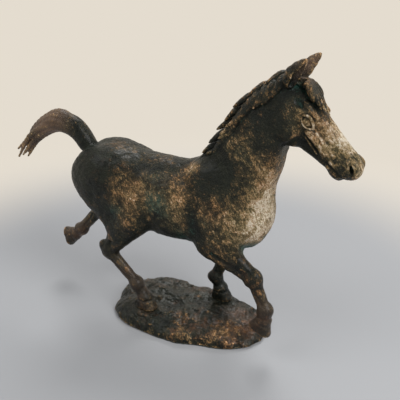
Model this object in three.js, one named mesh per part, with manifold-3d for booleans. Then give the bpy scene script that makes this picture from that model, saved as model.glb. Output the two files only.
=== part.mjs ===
// A cast bronze horse at the canter on a low rock base: a hollow casting made in sections that
// plug into each other and are pinned, standing on two studs that go through the base.
//
// Millimetres. +X is the way the horse faces, +Y its left side, +Z up. The origin is the middle
// of the felt under the base, so the figure stands on z = 0.

import * as THREE from "three";
import { mergeVertices } from "three/addons/utils/BufferGeometryUtils.js";
import Module from "manifold-3d";

const wasm = await Module();
wasm.setup();

// ---------------------------------------------------------------- driving dimensions

const bodyLength = 176; // point of the buttock to the front of the chest
const bodyWidth = 62; // across the ribs
const withersHeight = 150; // top of the withers above the soles
const headLength = 87; // poll to lips
const headPitch = 39; // degrees that the face slopes down
const headTurn = -10; // degrees that the head turns, to its right

const forearmRadius = 12.5; // forelegs, from the elbow down
const kneeRadius = 7.6;
const gaskinRadius = 12.5; // hind legs, from the stifle down
const hockRadius = 7.6;
const cannonRadius = 5.6;
const fetlockRadius = 6.6;
const pasternRadius = 5.4;
const hoofHeight = 10.5;
const toeRadius = 7;
const tailRadius = 9.5; // at the thickest part of the tail's hair
const earLength = 24;

const wall = 3; // of the hollow castings
const jointGap = 0.3; // between two castings, or a fastener and its hole
const sleeveWall = 2.2;
const sleeveReach = 7; // a sleeve's length on each side of its joint
const sleeveGap = 1; // between a sleeve and the wall round it
const pinRadius = 1.3;
const pinSunk = 0.9; // how far a pin's end lies under the bronze's surface
const pinGrip = 2.4; // how far a pin reaches past the sleeve that it holds
const spigotRadius = 4.6; // the round tenon on the end of a leg or the tail
const spigotLength = 9;
const earSpigotRadius = 1.6;
const earSpigotLength = 4;

const groundHeight = 16; // where the hooves stand, above the table
const baseLength = 152;
const baseWidth = 80;
const baseLead = 8; // how far the base's middle is in front of the body's
const baseCeiling = 9.5; // height of the hollow under the base
const feltThickness = 1.5;
const feltInset = 1.2;
const studRadius = 2;
const studInHoof = 11;
const washerRadius = 4.4;
const washerThickness = 0.8;
const nutRadius = 3.9; // across the corners
const nutHeight = 3;
const plugRadius = 5;
const plugThickness = 4;

// Sizes of the mesh cells: how closely each surface is followed.
const trunkCell = 8.4;
const hollowCell = 7.2;
const neckCell = 6;
const headCell = 5.4;
const legCell = 4.6;
const tailCell = 4;
const earCell = 2.5;
const forelockCell = 2.4;
const simplest = 0.05; // how far a surface may move to lose slivers

const bronze = new THREE.MeshStandardMaterial({ color: 0x4a4334, roughness: 0.48, metalness: 0.75 });
const rubbedBronze = new THREE.MeshStandardMaterial({ color: 0x5d4c41, roughness: 0.5, metalness: 0.7 });
const rawBrass = new THREE.MeshStandardMaterial({ color: 0x9a7b45, roughness: 0.4, metalness: 0.9 });
const steel = new THREE.MeshStandardMaterial({ color: 0x8a8c8e, roughness: 0.45, metalness: 0.9 });
const felt = new THREE.MeshStandardMaterial({ color: 0x2c332d, roughness: 1, metalness: 0 });

// ---------------------------------------------------------------- points of the horse

// The pose is drawn at these overall sizes, and stretches with the driving dimensions.
const drawn = { length: 176, width: 62, height: 150 };
const along = bodyLength / drawn.length;
const across = bodyWidth / drawn.width;
const upright = withersHeight / drawn.height;

const v3 = (x, y, z) => new THREE.Vector3(x, y, z);
// A point of the pose: x and y from the middle of the body, z above the ground.
const spot = (x, y, z) => v3(x * along - baseLead, y * across, groundHeight + z * upright);
// Where the hair meets the hoof of a leg that stands on the base.
const aboveHoof = (x, y) => spot(x, y, 0).add(v3(0, 0, hoofHeight + jointGap));
const radii = (x, y, z) => v3(x * along, y * across, z * upright);

const legs = {
  right_foreleg: {
    side: -1,
    top: spot(68, -18, 104),
    bend: spot(46, -21, 84),
    knee: spot(82, -23, 60),
    fetlock: spot(94, -24, 33),
    coronet: spot(93, -24, 22),
    soleWay: v3(-0.42, 0, -0.91),
    cutAt: 26,
  },
  left_foreleg: {
    side: 1,
    top: spot(66, 18, 104),
    bend: spot(43, 21, 83),
    knee: spot(41, 21, 47),
    fetlock: spot(31, 21, 21.5),
    coronet: aboveHoof(36, 21),
    soleWay: v3(0, 0, -1),
    cutAt: 19,
  },
  right_hindleg: {
    side: -1,
    hind: true,
    top: spot(-58, -15, 125),
    bend: spot(-30, -23, 90),
    knee: spot(-57, -22, 53),
    fetlock: spot(-31, -21, 24),
    coronet: aboveHoof(-23, -21),
    soleWay: v3(0, 0, -1),
    cutAt: 27,
  },
  left_hindleg: {
    side: 1,
    hind: true,
    top: spot(-60, 15, 125),
    bend: spot(-47, 23, 87),
    knee: spot(-95, 22, 66),
    fetlock: spot(-118, 21, 40),
    coronet: spot(-127, 21, 32),
    soleWay: v3(-0.75, 0, -0.25),
    cutAt: 30,
  },
};

// The head has its own directions: "out" runs from the poll to the lips, "side" to its left,
// and "up" out of the forehead. Its points are drawn on a head 75 mm long.
const headScale = headLength / 75;
const poll = spot(90, 0, 214);
const pitch = THREE.MathUtils.degToRad(headPitch);
const turn = THREE.MathUtils.degToRad(headTurn);
const headOut = v3(Math.cos(pitch) * Math.cos(turn), Math.cos(pitch) * Math.sin(turn), -Math.sin(pitch));
const headSide = v3(-Math.sin(turn), Math.cos(turn), 0);
const headUp = headOut.clone().cross(headSide);
const onHead = (out, side, up) =>
  poll
    .clone()
    .addScaledVector(headOut, out * headScale)
    .addScaledVector(headSide, side * headScale)
    .addScaledVector(headUp, up * headScale);

const tailRoot = spot(-84, 0, 142);
const tailWay = v3(-0.62, 0, 0.78);

// ---------------------------------------------------------------- rounded shapes
// A shape here is a function of x, y and z: the distance to its surface, negative inside.

// A tapered round bar from a to b, made thinner from side to side by flat.
function bar(a, b, radiusA, radiusB, flat = 1) {
  const run = b.clone().sub(a);
  const square = run.lengthSq();
  return (x, y, z) => {
    const px = x - a.x;
    const py = y - a.y;
    const pz = z - a.z;
    const t = THREE.MathUtils.clamp((px * run.x + py * run.y + pz * run.z) / square, 0, 1);
    const reach = Math.hypot(px - t * run.x, (py - t * run.y) / flat, pz - t * run.z);
    return (reach - (radiusA + t * (radiusB - radiusA))) * (0.5 + 0.5 * flat);
  };
}

// An ellipsoid with its nose turned down by pitchDegrees and then to the left by turnDegrees.
function egg(centre, size, pitchDegrees = 0, turnDegrees = 0) {
  const back = new THREE.Matrix4()
    .makeRotationZ(THREE.MathUtils.degToRad(turnDegrees))
    .multiply(new THREE.Matrix4().makeRotationY(THREE.MathUtils.degToRad(pitchDegrees)))
    .invert();
  const p = v3();
  return (x, y, z) => {
    p.set(x, y, z).sub(centre).applyMatrix4(back).divide(size);
    const k0 = p.length();
    const k1 = p.divide(size).length();
    return (k0 * (k0 - 1)) / Math.max(k1, 1e-6);
  };
}

const smoothMin = (a, b, blend) => {
  const h = Math.max(blend - Math.abs(a - b), 0) / blend;
  return Math.min(a, b) - (h * h * blend) / 4;
};

// Joins [shape, blend] pairs in turn. Blend is the width of the fillet where they meet.
const joined = (pairs) => (x, y, z) =>
  pairs.reduce((nearest, [shape, blend]) => smoothMin(nearest, shape(x, y, z), blend), 1e3);

const both = (give) => [-1, 1].flatMap(give);

function trunkShapes() {
  return [
    [egg(spot(4, 0, 108), radii(56, 31, 36)), 1],
    [egg(spot(42, 0, 110), radii(36, 28, 39.5)), 10],
    [egg(spot(-32, 0, 116), radii(38, 27.5, 28.5)), 12],
    [egg(spot(-58, 0, 118), radii(33, 27.5, 31)), 12],
    [bar(spot(22, 0, 134), spot(40, 0, 139), 9, 10.5), 12],
    [egg(spot(66, 0, 105), radii(20, 22.5, 28)), 10],
    ...both((s) => [
      [bar(spot(34, s * 13, 136), spot(68, s * 16, 108), 11, 12, 0.8), 9],
      [egg(spot(42, s * 20, 97), radii(22, 10, 18), 25), 8],
      [egg(spot(76, s * 9.5, 100), radii(9.5, 10, 14)), 6],
      [egg(spot(-71, s * 12.5, 117), radii(20, 14, 28), -12), 8],
    ]),
  ];
}

function neckShapes() {
  const nape = onHead(4, 0, -5);
  return [
    [bar(spot(54, 0, 125), spot(66, 0, 156), 33, 25, 0.68), 14],
    [bar(spot(66, 0, 156), spot(77, 0, 184), 25, 19, 0.66), 8],
    [bar(spot(77, 0, 184), nape, 19, 14.5, 0.72), 8],
    ...both((s) => [[bar(spot(75, s * 11, 130), onHead(16, s * 7, -15), 9, 5.5, 0.9), 7]]),
  ];
}

// The mane's locks, cast with the neck: each falls back from the crest on the right side.
function maneShapes() {
  const crest = new THREE.CatmullRomCurve3([
    onHead(-2, 0, 8),
    spot(73, 0, 204),
    spot(58, 0, 184),
    spot(46, 0, 164),
    spot(38, 0, 150),
  ]);
  const locks = 7;
  return Array.from({ length: locks }, (_, i) => {
    const root = crest.getPoint((i + 0.3) / locks);
    const middle = root.clone().add(v3(-6, -8, -2));
    const tip = root.clone().add(v3(-17, -13, -17));
    return [
      [bar(root, middle, 7, 6.2), 3],
      [bar(middle, tip, 6.2, 3.4), 3],
    ];
  }).flat();
}

function headShapes() {
  const on = (out, side, up, size) =>
    egg(onHead(out, side, up), v3(...size).multiplyScalar(headScale), headPitch, headTurn);
  const rod = (a, b, ra, rb, flat) =>
    bar(onHead(...a), onHead(...b), ra * headScale, rb * headScale, flat);
  return [
    [on(14, 0, -3, [17, 12, 14]), 8],
    ...both((s) => [
      [on(21, s * 4.5, -12, [15, 8.5, 12.5]), 6],
      [on(26, s * 7.5, 4, [8, 5, 5]), 4],
    ]),
    [rod([18, 0, 3], [58, 0, 0.5], 8.5, 6.2, 0.95), 6],
    [rod([24, 0, -13], [60, 0, -9], 8, 4.6, 0.9), 7],
    [rod([30, 0, -5], [62, 0, -4], 8.5, 7.2, 0.95), 6],
    [on(64, 0, -2.5, [9, 8.6, 8.2]), 5],
    [on(62, 0, -11, [6, 5.6, 4.2]), 3],
    ...both((s) => [[on(67, s * 5.8, 0.2, [4.2, 2.6, 3.6]), 2]]),
  ];
}

// The direction square to the limb from a to b that points forwards.
function frontOf(a, b) {
  const front = b.clone().sub(a).cross(v3(0, 1, 0)).normalize();
  return front.x < 0 ? front.negate() : front;
}

const upperRadius = (leg) => (leg.hind ? gaskinRadius : forearmRadius);
const lowerRadius = (leg) => (leg.hind ? hockRadius : kneeRadius);
// The same taper whether the bar is whole or stops at the share of its length given.
const upperBar = (leg, share = 1) =>
  bar(
    leg.bend,
    leg.bend.clone().lerp(leg.knee, share),
    upperRadius(leg),
    THREE.MathUtils.lerp(upperRadius(leg), lowerRadius(leg) - 0.6, share),
    0.78,
  );

// The muscle between the trunk and the elbow or stifle.
function shoulderShapes(leg) {
  if (!leg.hind) return [[bar(leg.top, leg.bend, 12, forearmRadius, 0.75), 8]];
  const thighEnd = leg.bend.clone().add(v3(-4, -leg.side * 3, 0));
  const hamTop = leg.top.clone().add(v3(-20, -leg.side * 2, -6));
  const hamEnd = leg.bend.clone().lerp(leg.knee, 0.35).add(v3(-6, 0, 0));
  return [
    [bar(leg.top, thighEnd, 22, 14.5, 0.72), 9],
    [bar(hamTop, hamEnd, 15, 9.5, 0.72), 9],
    [egg(leg.bend.clone().add(v3(0, -leg.side * 2, 2)), v3(12, 9.5, 12)), 8],
  ];
}

function hoofShape(leg) {
  const down = leg.soleWay.clone().normalize();
  const pasternWay = leg.coronet.clone().sub(leg.fetlock).normalize();
  const toeWay = pasternWay.add(frontOf(leg.fetlock, leg.coronet));
  toeWay.addScaledVector(down, -toeWay.dot(down)).normalize();
  const sole = leg.coronet.clone().addScaledVector(down, hoofHeight);
  const toe = bar(leg.coronet, sole.clone().addScaledVector(toeWay, 4.6), toeRadius - 0.8, toeRadius);
  const heelSole = sole.clone().addScaledVector(toeWay, -2.8);
  const heel = bar(leg.coronet, heelSole, toeRadius - 1.4, toeRadius - 1);
  return (x, y, z) => {
    const belowSole = v3(x, y, z).sub(sole).dot(down);
    return Math.max(smoothMin(toe(x, y, z), heel(x, y, z), 3), belowSole);
  };
}

function lowerLegShapes(leg) {
  const calf = frontOf(leg.bend, leg.knee).negate();
  const behind = frontOf(leg.knee, leg.fetlock).negate();
  const off = (p, way, d) => p.clone().addScaledVector(way, d);
  return [
    [upperBar(leg), 8],
    [egg(leg.knee, v3(1, 0.9, 1.1).multiplyScalar(lowerRadius(leg))), 3],
    [egg(off(leg.knee, calf, leg.hind ? 5 : 2), v3(4.6, 4.4, 5)), 3],
    [bar(leg.knee, leg.fetlock, cannonRadius, cannonRadius - 0.5, 0.85), 3],
    [bar(off(leg.knee, behind, 3), off(leg.fetlock, behind, 1.8), 3.6, 3.6, 0.8), 3],
    [egg(leg.fetlock, v3(1, 0.95, 1).multiplyScalar(fetlockRadius)), 3],
    [egg(off(leg.fetlock, behind, 4.2), v3(3.8, 3.8, 3.8)), 3],
    [bar(leg.fetlock, leg.coronet, pasternRadius, pasternRadius + 0.4, 0.95), 3],
    [hoofShape(leg), 1.5],
  ];
}

// The line that the middle of the tail follows.
function tailCourse() {
  const steps = [v3(0, 0, 0), v3(-14, 0, 17), v3(-34, 0, 20), v3(-58, 0, 6), v3(-79, 0, -16)];
  return new THREE.CatmullRomCurve3(steps.map((step) => step.add(tailRoot)));
}

function tailShapes() {
  const hang = tailCourse();
  const thickness = [0.7, 0.88, 1, 0.92, 0.34].map((share) => share * tailRadius);
  const steps = 8;
  return Array.from({ length: steps }, (_, i) => {
    const size = (t) => {
      const k = Math.min(Math.floor(t * 4), 3);
      return THREE.MathUtils.lerp(thickness[k], thickness[k + 1], t * 4 - k);
    };
    const [t0, t1] = [i / steps, (i + 1) / steps];
    return [bar(hang.getPoint(t0), hang.getPoint(t1), size(t0), size(t1)), 2];
  });
}

// ---------------------------------------------------------------- solids

// A manifold solid from a three.js geometry.
function solidOf(geometry) {
  const bare = geometry.clone();
  bare.deleteAttribute("normal");
  bare.deleteAttribute("uv");
  const merged = mergeVertices(bare, 1e-4);
  return new wasm.Manifold(
    new wasm.Mesh({
      numProp: 3,
      vertProperties: new Float32Array(merged.attributes.position.array),
      triVerts: new Uint32Array(merged.index.array),
    }),
  );
}

// A round bar from a to b with flat ends.
function rodSolid(a, b, radius, sides = 12) {
  const way = b.clone().sub(a);
  const geometry = new THREE.CylinderGeometry(radius, radius, way.length(), sides);
  const turned = new THREE.Quaternion().setFromUnitVectors(v3(0, 1, 0), way.clone().normalize());
  geometry.applyQuaternion(turned);
  const middle = a.clone().lerp(b, 0.5);
  geometry.translate(middle.x, middle.y, middle.z);
  return solidOf(geometry);
}

// A block whose one face is centred on "from" and that runs along "way" for "depth".
function blockSolid(from, way, halfWidth, depth) {
  const geometry = new THREE.BoxGeometry(2 * halfWidth, 2 * halfWidth, depth);
  const unitWay = way.clone().normalize();
  geometry.applyQuaternion(new THREE.Quaternion().setFromUnitVectors(v3(0, 0, 1), unitWay));
  const middle = from.clone().addScaledVector(unitWay, depth / 2);
  geometry.translate(middle.x, middle.y, middle.z);
  return solidOf(geometry);
}

// Everything on the far side of a plane.
const halfSpace = (point, way) => blockSolid(point, way, 400, 400);

// Which lump of inside corners each corner of a cell belongs to, or -1 outside. Corner c is at
// (c & 1, (c >> 1) & 1, c >> 2).
function cornerLumps(inside) {
  const lump = inside.map((isInside, c) => (isInside ? c : -1));
  for (let pass = 0; pass < 4; pass++)
    for (let c = 0; c < 8; c++)
      for (const other of [c ^ 1, c ^ 2, c ^ 4])
        if (lump[c] >= 0 && lump[other] >= 0) lump[c] = Math.min(lump[c], lump[other]);
  return lump;
}

// The surface where shape = level, as a closed mesh of cells "cell" wide between two corners.
// A cell gets one vertex for each lump that the surface parts off in it, and each crossed grid
// edge gets one four-sided face.
function skin(shape, low, high, cell, level = 0) {
  const spans = [high.x - low.x, high.y - low.y, high.z - low.z];
  const [nx, ny, nz] = spans.map((span) => Math.ceil(span / cell) + 1);
  const stride = [1, nx, nx * ny];
  const at = (i, j, k) => i + nx * (j + ny * k);
  const distance = (p) => shape(p.x, p.y, p.z) - level;
  const gridPoint = (i, j, k) => v3(i, j, k).multiplyScalar(cell).add(low);
  const values = new Float32Array(nx * ny * nz);
  for (let k = 0; k < nz; k++)
    for (let j = 0; j < ny; j++)
      for (let i = 0; i < nx; i++) {
        const atEdge = i === 0 || j === 0 || k === 0 || i === nx - 1 || j === ny - 1 || k === nz - 1;
        const value = distance(gridPoint(i, j, k));
        values[at(i, j, k)] = atEdge ? Math.max(value, cell * 0.3) : value;
      }

  // Moves a point onto the surface, within its cell.
  const settle = (p, floor) => {
    const ceiling = floor.clone().addScalar(cell);
    const step = cell * 0.05;
    for (let pass = 0; pass < 4; pass++) {
      const here = distance(p);
      const slope = v3(
        distance(v3(p.x + step, p.y, p.z)) - here,
        distance(v3(p.x, p.y + step, p.z)) - here,
        distance(v3(p.x, p.y, p.z + step)) - here,
      ).divideScalar(step);
      p.addScaledVector(slope, -here / Math.max(slope.lengthSq(), 0.05)).clamp(floor, ceiling);
    }
    return p;
  };

  const points = [];
  const vertexOf = new Map();
  const cornerAt = (c) => [c & 1, (c >> 1) & 1, c >> 2];
  for (let k = 0; k < nz - 1; k++)
    for (let j = 0; j < ny - 1; j++)
      for (let i = 0; i < nx - 1; i++) {
        const value = (c) => values[at(i + (c & 1), j + ((c >> 1) & 1), k + (c >> 2))];
        const inside = [0, 1, 2, 3, 4, 5, 6, 7].map((c) => value(c) < 0);
        if (inside.every((is) => is === inside[0])) continue;
        const lump = cornerLumps(inside);
        const atEdge = i === 0 || j === 0 || k === 0 || i === nx - 2 || j === ny - 2 || k === nz - 2;
        for (const label of new Set(lump.filter((l) => l >= 0))) {
          const crossings = [];
          for (let c = 0; c < 8; c++)
            for (const other of [c ^ 1, c ^ 2, c ^ 4]) {
              if (lump[c] !== label || inside[other]) continue;
              const share = value(c) / (value(c) - value(other));
              crossings.push(v3(...cornerAt(c)).lerp(v3(...cornerAt(other)), share));
            }
          const sum = crossings.reduce((total, crossing) => total.add(crossing), v3());
          const p = sum.divideScalar(crossings.length).multiplyScalar(cell).add(gridPoint(i, j, k));
          vertexOf.set(at(i, j, k) * 8 + label, points.length);
          points.push(atEdge ? p : settle(p, gridPoint(i, j, k)));
        }
        for (let c = 0; c < 8; c++)
          if (lump[c] >= 0) vertexOf.set(at(i, j, k) * 8 + c, vertexOf.get(at(i, j, k) * 8 + lump[c]));
      }

  const faces = [];
  for (let k = 0; k < nz - 1; k++)
    for (let j = 0; j < ny - 1; j++)
      for (let i = 0; i < nx - 1; i++)
        for (let axis = 0; axis < 3; axis++) {
          const here = at(i, j, k);
          const starts = values[here] < 0;
          if (starts === values[here + stride[axis]] < 0) continue;
          const [one, two] = [(axis + 1) % 3, (axis + 2) % 3];
          // The four cells round the edge, and which of their corners the inside end is.
          const quad = [3, 2, 0, 1].map((c) => {
            const [back, down] = [c & 1, c >> 1];
            const corner = (starts ? 0 : 1 << axis) + (back << one) + (down << two);
            return vertexOf.get((here - back * stride[one] - down * stride[two]) * 8 + corner);
          });
          if (!starts) quad.reverse();
          const [a, b, c, d] = quad;
          const split = points[a].distanceToSquared(points[c]) <= points[b].distanceToSquared(points[d]);
          faces.push(...(split ? [a, b, c, a, c, d] : [b, c, d, b, d, a]));
        }
  return new wasm.Manifold(
    new wasm.Mesh({
      numProp: 3,
      vertProperties: new Float32Array(points.flatMap((p) => p.toArray())),
      triVerts: new Uint32Array(faces),
    }),
  );
}

// ---------------------------------------------------------------- the whole figure's shapes

const cutPoint = (leg) => leg.bend.clone().addScaledVector(legWay(leg), leg.cutAt);
const legWay = (leg) => leg.knee.clone().sub(leg.bend).normalize();
const stubShare = (leg) => (leg.cutAt + 6) / leg.bend.distanceTo(leg.knee);

const stubShapes = Object.values(legs).flatMap((leg) => [
  ...shoulderShapes(leg),
  [upperBar(leg, stubShare(leg)), 8],
]);
const fromTailRoot = (distance) => tailRoot.clone().addScaledVector(tailWay, distance);
const dock = [bar(fromTailRoot(-10), fromTailRoot(8), 8, 0.78 * tailRadius), 5];
const hollowShape = joined([...trunkShapes(), ...neckShapes(), ...headShapes()]);
const bodyShape = joined([...trunkShapes(), ...neckShapes(), ...stubShapes, dock, ...headShapes()]);
const neckShape = joined([...trunkShapes(), ...neckShapes(), ...headShapes(), ...maneShapes()]);

const far = v3(bodyLength, bodyWidth, withersHeight).multiplyScalar(1.2);
const figureLow = v3(-far.x, -far.y, groundHeight * 0.5);
const figureHigh = v3(far.x, far.y, groundHeight + 2 * withersHeight);
const hollowAt = (depth) => skin(hollowShape, figureLow, figureHigh, hollowCell, -depth);
const hollow = hollowAt(wall);

// ---------------------------------------------------------------- joints between the sections

const waist = { point: spot(-8, 0, 110), way: v3(1, 0, 0), spread: 60 };
const neckRoot = { point: spot(60, 0, 139), way: v3(0.4, 0, 0.92).normalize(), spread: 45 };
const neckTop = { point: spot(75, 0, 174), way: v3(0.34, 0, 0.94).normalize(), spread: 40 };
const shifted = (joint, distance) => joint.point.clone().addScaledVector(joint.way, distance);
const beyond = (joint) => halfSpace(shifted(joint, jointGap / 2), joint.way);
const before = (joint) => halfSpace(shifted(joint, -jointGap / 2), joint.way.clone().negate());
const forward = (joint) => v3(joint.way.z, 0, -joint.way.x);
const throatEdge = (joint) => joint.point.clone().addScaledVector(forward(joint), joint.spread);

// A collar inside the castings that spans the joint.
function sleeve(joint) {
  const span = blockSolid(shifted(joint, -sleeveReach), joint.way, joint.spread, 2 * sleeveReach);
  const inside = hollowAt(wall + sleeveGap + sleeveWall);
  return hollowAt(wall + sleeveGap).subtract(inside).intersect(span).intersect(hollow);
}

// How far out from "inside" along "way" the shape's surface is.
function surfaceFrom(shape, inside, way) {
  let [near, reach] = [0, 80];
  for (let pass = 0; pass < 30; pass++) {
    const middle = (near + reach) / 2;
    const p = inside.clone().addScaledVector(way, middle);
    if (shape(p.x, p.y, p.z) < 0) near = middle;
    else reach = middle;
  }
  return near;
}

// A pin from just under the outside, through the wall and the collar, on one side of a joint.
function sectionPin(joint, side, offset) {
  const middle = shifted(joint, offset);
  const way = v3(0, side, 0);
  const surface = surfaceFrom(hollowShape, middle, way);
  const tip = middle.clone().addScaledVector(way, surface - pinSunk);
  const tail = middle.clone().addScaledVector(way, surface - wall - sleeveGap - sleeveWall - pinGrip);
  return { tip, tail, hole: rodSolid(tail, tip.clone().addScaledVector(way, 6), pinRadius + jointGap) };
}

const sectionPins = {};
for (const [name, joint, offset] of [
  ["waist", waist, 3.8],
  ["neck", neckRoot, 3.8],
  ["crest", neckTop, 3.8],
])
  for (const [label, side] of [
    ["right", -1],
    ["left", 1],
  ])
    sectionPins[`${name}_pin_${label}`] = sectionPin(joint, side, offset);

const without = (solid, cutters) => cutters.reduce((rest, cutter) => rest.subtract(cutter), solid);
const pinHoles = (...names) =>
  Object.entries(sectionPins)
    .filter(([name]) => names.some((start) => name.startsWith(start)))
    .map(([, pin]) => pin.hole);

// A round tenon at a plane, the hole it sits in, and the pin across them.
function spigot(point, way, radius, length) {
  const root = point.clone().addScaledVector(way, 1);
  const tip = point.clone().addScaledVector(way, -length);
  const end = point.clone().addScaledVector(way, -length - jointGap);
  return { tenon: rodSolid(root, tip, radius), hole: rodSolid(root, end, radius + jointGap) };
}

function crossPin(shape, middle) {
  const ends = [-1, 1].map((s) => {
    const way = v3(0, s, 0);
    return middle.clone().addScaledVector(way, surfaceFrom(shape, middle, way) - pinSunk);
  });
  const out = [-1, 1].map((s, i) => ends[i].clone().add(v3(0, s * 6, 0)));
  return { tip: ends[0], tail: ends[1], hole: rodSolid(out[0], out[1], pinRadius + jointGap) };
}

// ---------------------------------------------------------------- pieces

const figure = new THREE.Group();
figure.name = "bronze_horse";

function add(name, solid, material) {
  const made = solid.asOriginal().simplify(simplest).getMesh();
  const position = Float32Array.from({ length: made.numVert * 3 }, (_, i) => {
    const vertex = Math.floor(i / 3);
    return made.vertProperties[vertex * made.numProp + (i % 3)];
  });
  const geometry = new THREE.BufferGeometry();
  geometry.setAttribute("position", new THREE.BufferAttribute(position, 3));
  geometry.setIndex(new THREE.BufferAttribute(made.triVerts, 1));
  geometry.computeVertexNormals();
  const mesh = new THREE.Mesh(geometry, material);
  mesh.name = name;
  figure.add(mesh);
}

// Legs, each with a tenon that plugs into the body and a pin across it.
const sockets = [];
for (const [name, leg] of Object.entries(legs)) {
  const way = legWay(leg);
  const cut = cutPoint(leg);
  const shape = joined(lowerLegShapes(leg));
  const reach = v3(40, 24, 40);
  const ends = [cut, leg.knee, leg.fetlock, leg.coronet];
  const box = new THREE.Box3().setFromPoints(ends).expandByVector(reach);
  const full = skin(shape, box.min, box.max, legCell);
  const tenon = spigot(cut, way, spigotRadius, spigotLength);
  const pin = crossPin(shape, cut.clone().addScaledVector(way, -spigotLength / 2));
  sockets.push(
    blockSolid(cut.clone().addScaledVector(way, -jointGap / 2), way, 14, 30),
    tenon.hole,
    pin.hole,
  );
  leg.solid = full
    .intersect(halfSpace(cut.clone().addScaledVector(way, jointGap / 2), way))
    .add(tenon.tenon)
    .subtract(pin.hole);
  leg.pin = pin;
  leg.name = name;
}

// The tail, plugged into the dock the same way.
const tailCut = fromTailRoot(4);
const tailTenon = spigot(tailCut, tailWay, spigotRadius - 0.8, spigotLength);
const tailShape = joined([dock, ...tailShapes()]);
const tailPin = crossPin(tailShape, tailCut.clone().addScaledVector(tailWay, -2.6));
const tailBox = new THREE.Box3().setFromPoints(tailCourse().points).expandByScalar(2 * tailRadius);
const tailSolid = skin(tailShape, tailBox.min, tailBox.max, tailCell)
  .intersect(halfSpace(tailCut.clone().addScaledVector(tailWay, jointGap / 2), tailWay))
  .add(tailTenon.tenon)
  .subtract(tailPin.hole);
sockets.push(
  blockSolid(tailCut.clone().addScaledVector(tailWay, -jointGap / 2), tailWay, 14, 40),
  tailTenon.hole,
  tailPin.hole,
);

// The two halves of the body.
const body = skin(bodyShape, figureLow, figureHigh, trunkCell);
const openBody = without(body.subtract(hollow), sockets);
add("hindquarters", without(openBody.intersect(before(waist)), pinHoles("waist")), bronze);

const bellyTop = spot(16, 0, 100);
const belly = bellyTop.z - surfaceFrom(bodyShape, bellyTop, v3(0, 0, -1));
const plugAt = (z) => v3(bellyTop.x, 0, z);
const plugCut = [plugAt(belly - 4), plugAt(belly + plugThickness + 4)];
const plugHole = rodSolid(...plugCut, plugRadius + jointGap, 20);
const frontBody = openBody.intersect(beyond(waist)).intersect(before(neckRoot));
add("forequarters", without(frontBody, [plugHole, ...pinHoles("waist", "neck")]), bronze);
const plugEnds = [plugAt(belly + 0.6), plugAt(belly + 0.6 + plugThickness)];
add("belly_plug", rodSolid(...plugEnds, plugRadius, 20), bronze);

// The neck with its mane, and the head.
const neckCorners = [spot(30, 0, 126), onHead(30, 0, 20), onHead(20, 0, -30)];
const neckBox = new THREE.Box3().setFromPoints(neckCorners).expandByScalar(24);
const neckSkin = skin(neckShape, neckBox.min, neckBox.max, neckCell);
const behindThroat = halfSpace(throatEdge(neckTop), forward(neckTop).negate());
const neckSpan = beyond(neckRoot).intersect(before(neckTop)).intersect(behindThroat);
const neckWall = neckSkin.intersect(neckSpan).subtract(hollow);
add("neck", without(neckWall, pinHoles("neck", "crest")), bronze);

const earParts = [
  ["right_ear", -1],
  ["left_ear", 1],
].map(([name, side]) => {
  const root = onHead(2, side * 7, 6.5);
  const tip = onHead(1, side * 10.5, 7.5 + earLength / headScale);
  const way = tip.clone().sub(root).normalize();
  const cut = root.clone().addScaledVector(way, 5);
  const middle = root.clone().lerp(tip, 0.45);
  const cup = [0.35, 0.85].map((share) => root.clone().lerp(tip, share).addScaledVector(headOut, 4.4));
  const leaf = joined([
    [bar(root, middle, 3.7, 5), 2],
    [bar(middle, tip, 5, 1.4), 2],
  ]);
  const stub = bar(root, root.clone().addScaledVector(way, 9), 3.7, 4.4);
  return { name, root, tip, way, cut, middle, leaf, stub, cup };
});
const headShape = joined([
  ...neckShapes(),
  ...headShapes(),
  ...maneShapes(),
  ...earParts.map((ear) => [ear.stub, 2]),
]);
const headEnds = [onHead(75, 0, 0), onHead(20, 0, -26), onHead(0, 0, 26)];
const headCorners = [neckTop.point, ...headEnds, spot(40, 0, 180)];
const headBox = new THREE.Box3().setFromPoints(headCorners).expandByScalar(18);
const forelockRoot = onHead(6, 0, 9.5);
const forelockWay = headUp.clone().addScaledVector(headOut, 0.35).normalize();
const headCutters = [];
for (const ear of earParts) {
  const tenon = spigot(ear.cut, ear.way, earSpigotRadius, earSpigotLength);
  const seat = ear.cut.clone().addScaledVector(ear.way, -jointGap / 2);
  headCutters.push(blockSolid(seat, ear.way, 8, 40), tenon.hole);
  const box = new THREE.Box3().setFromPoints([ear.root, ear.tip]).expandByScalar(12);
  ear.solid = skin(ear.leaf, box.min, box.max, earCell)
    .intersect(halfSpace(ear.cut.clone().addScaledVector(ear.way, jointGap / 2), ear.way))
    .subtract(solidOf(cupGeometry(...ear.cup)))
    .add(tenon.tenon);
}

// A long drop that hollows the front of an ear.
function cupGeometry(a, b) {
  const geometry = new THREE.SphereGeometry(1, 10, 8);
  geometry.scale(2.6, a.distanceTo(b) / 2 + 2.4, 2.6);
  geometry.applyQuaternion(new THREE.Quaternion().setFromUnitVectors(v3(0, 1, 0), b.clone().sub(a).normalize()));
  const middle = a.clone().lerp(b, 0.5);
  return geometry.translate(middle.x, middle.y, middle.z);
}

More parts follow.
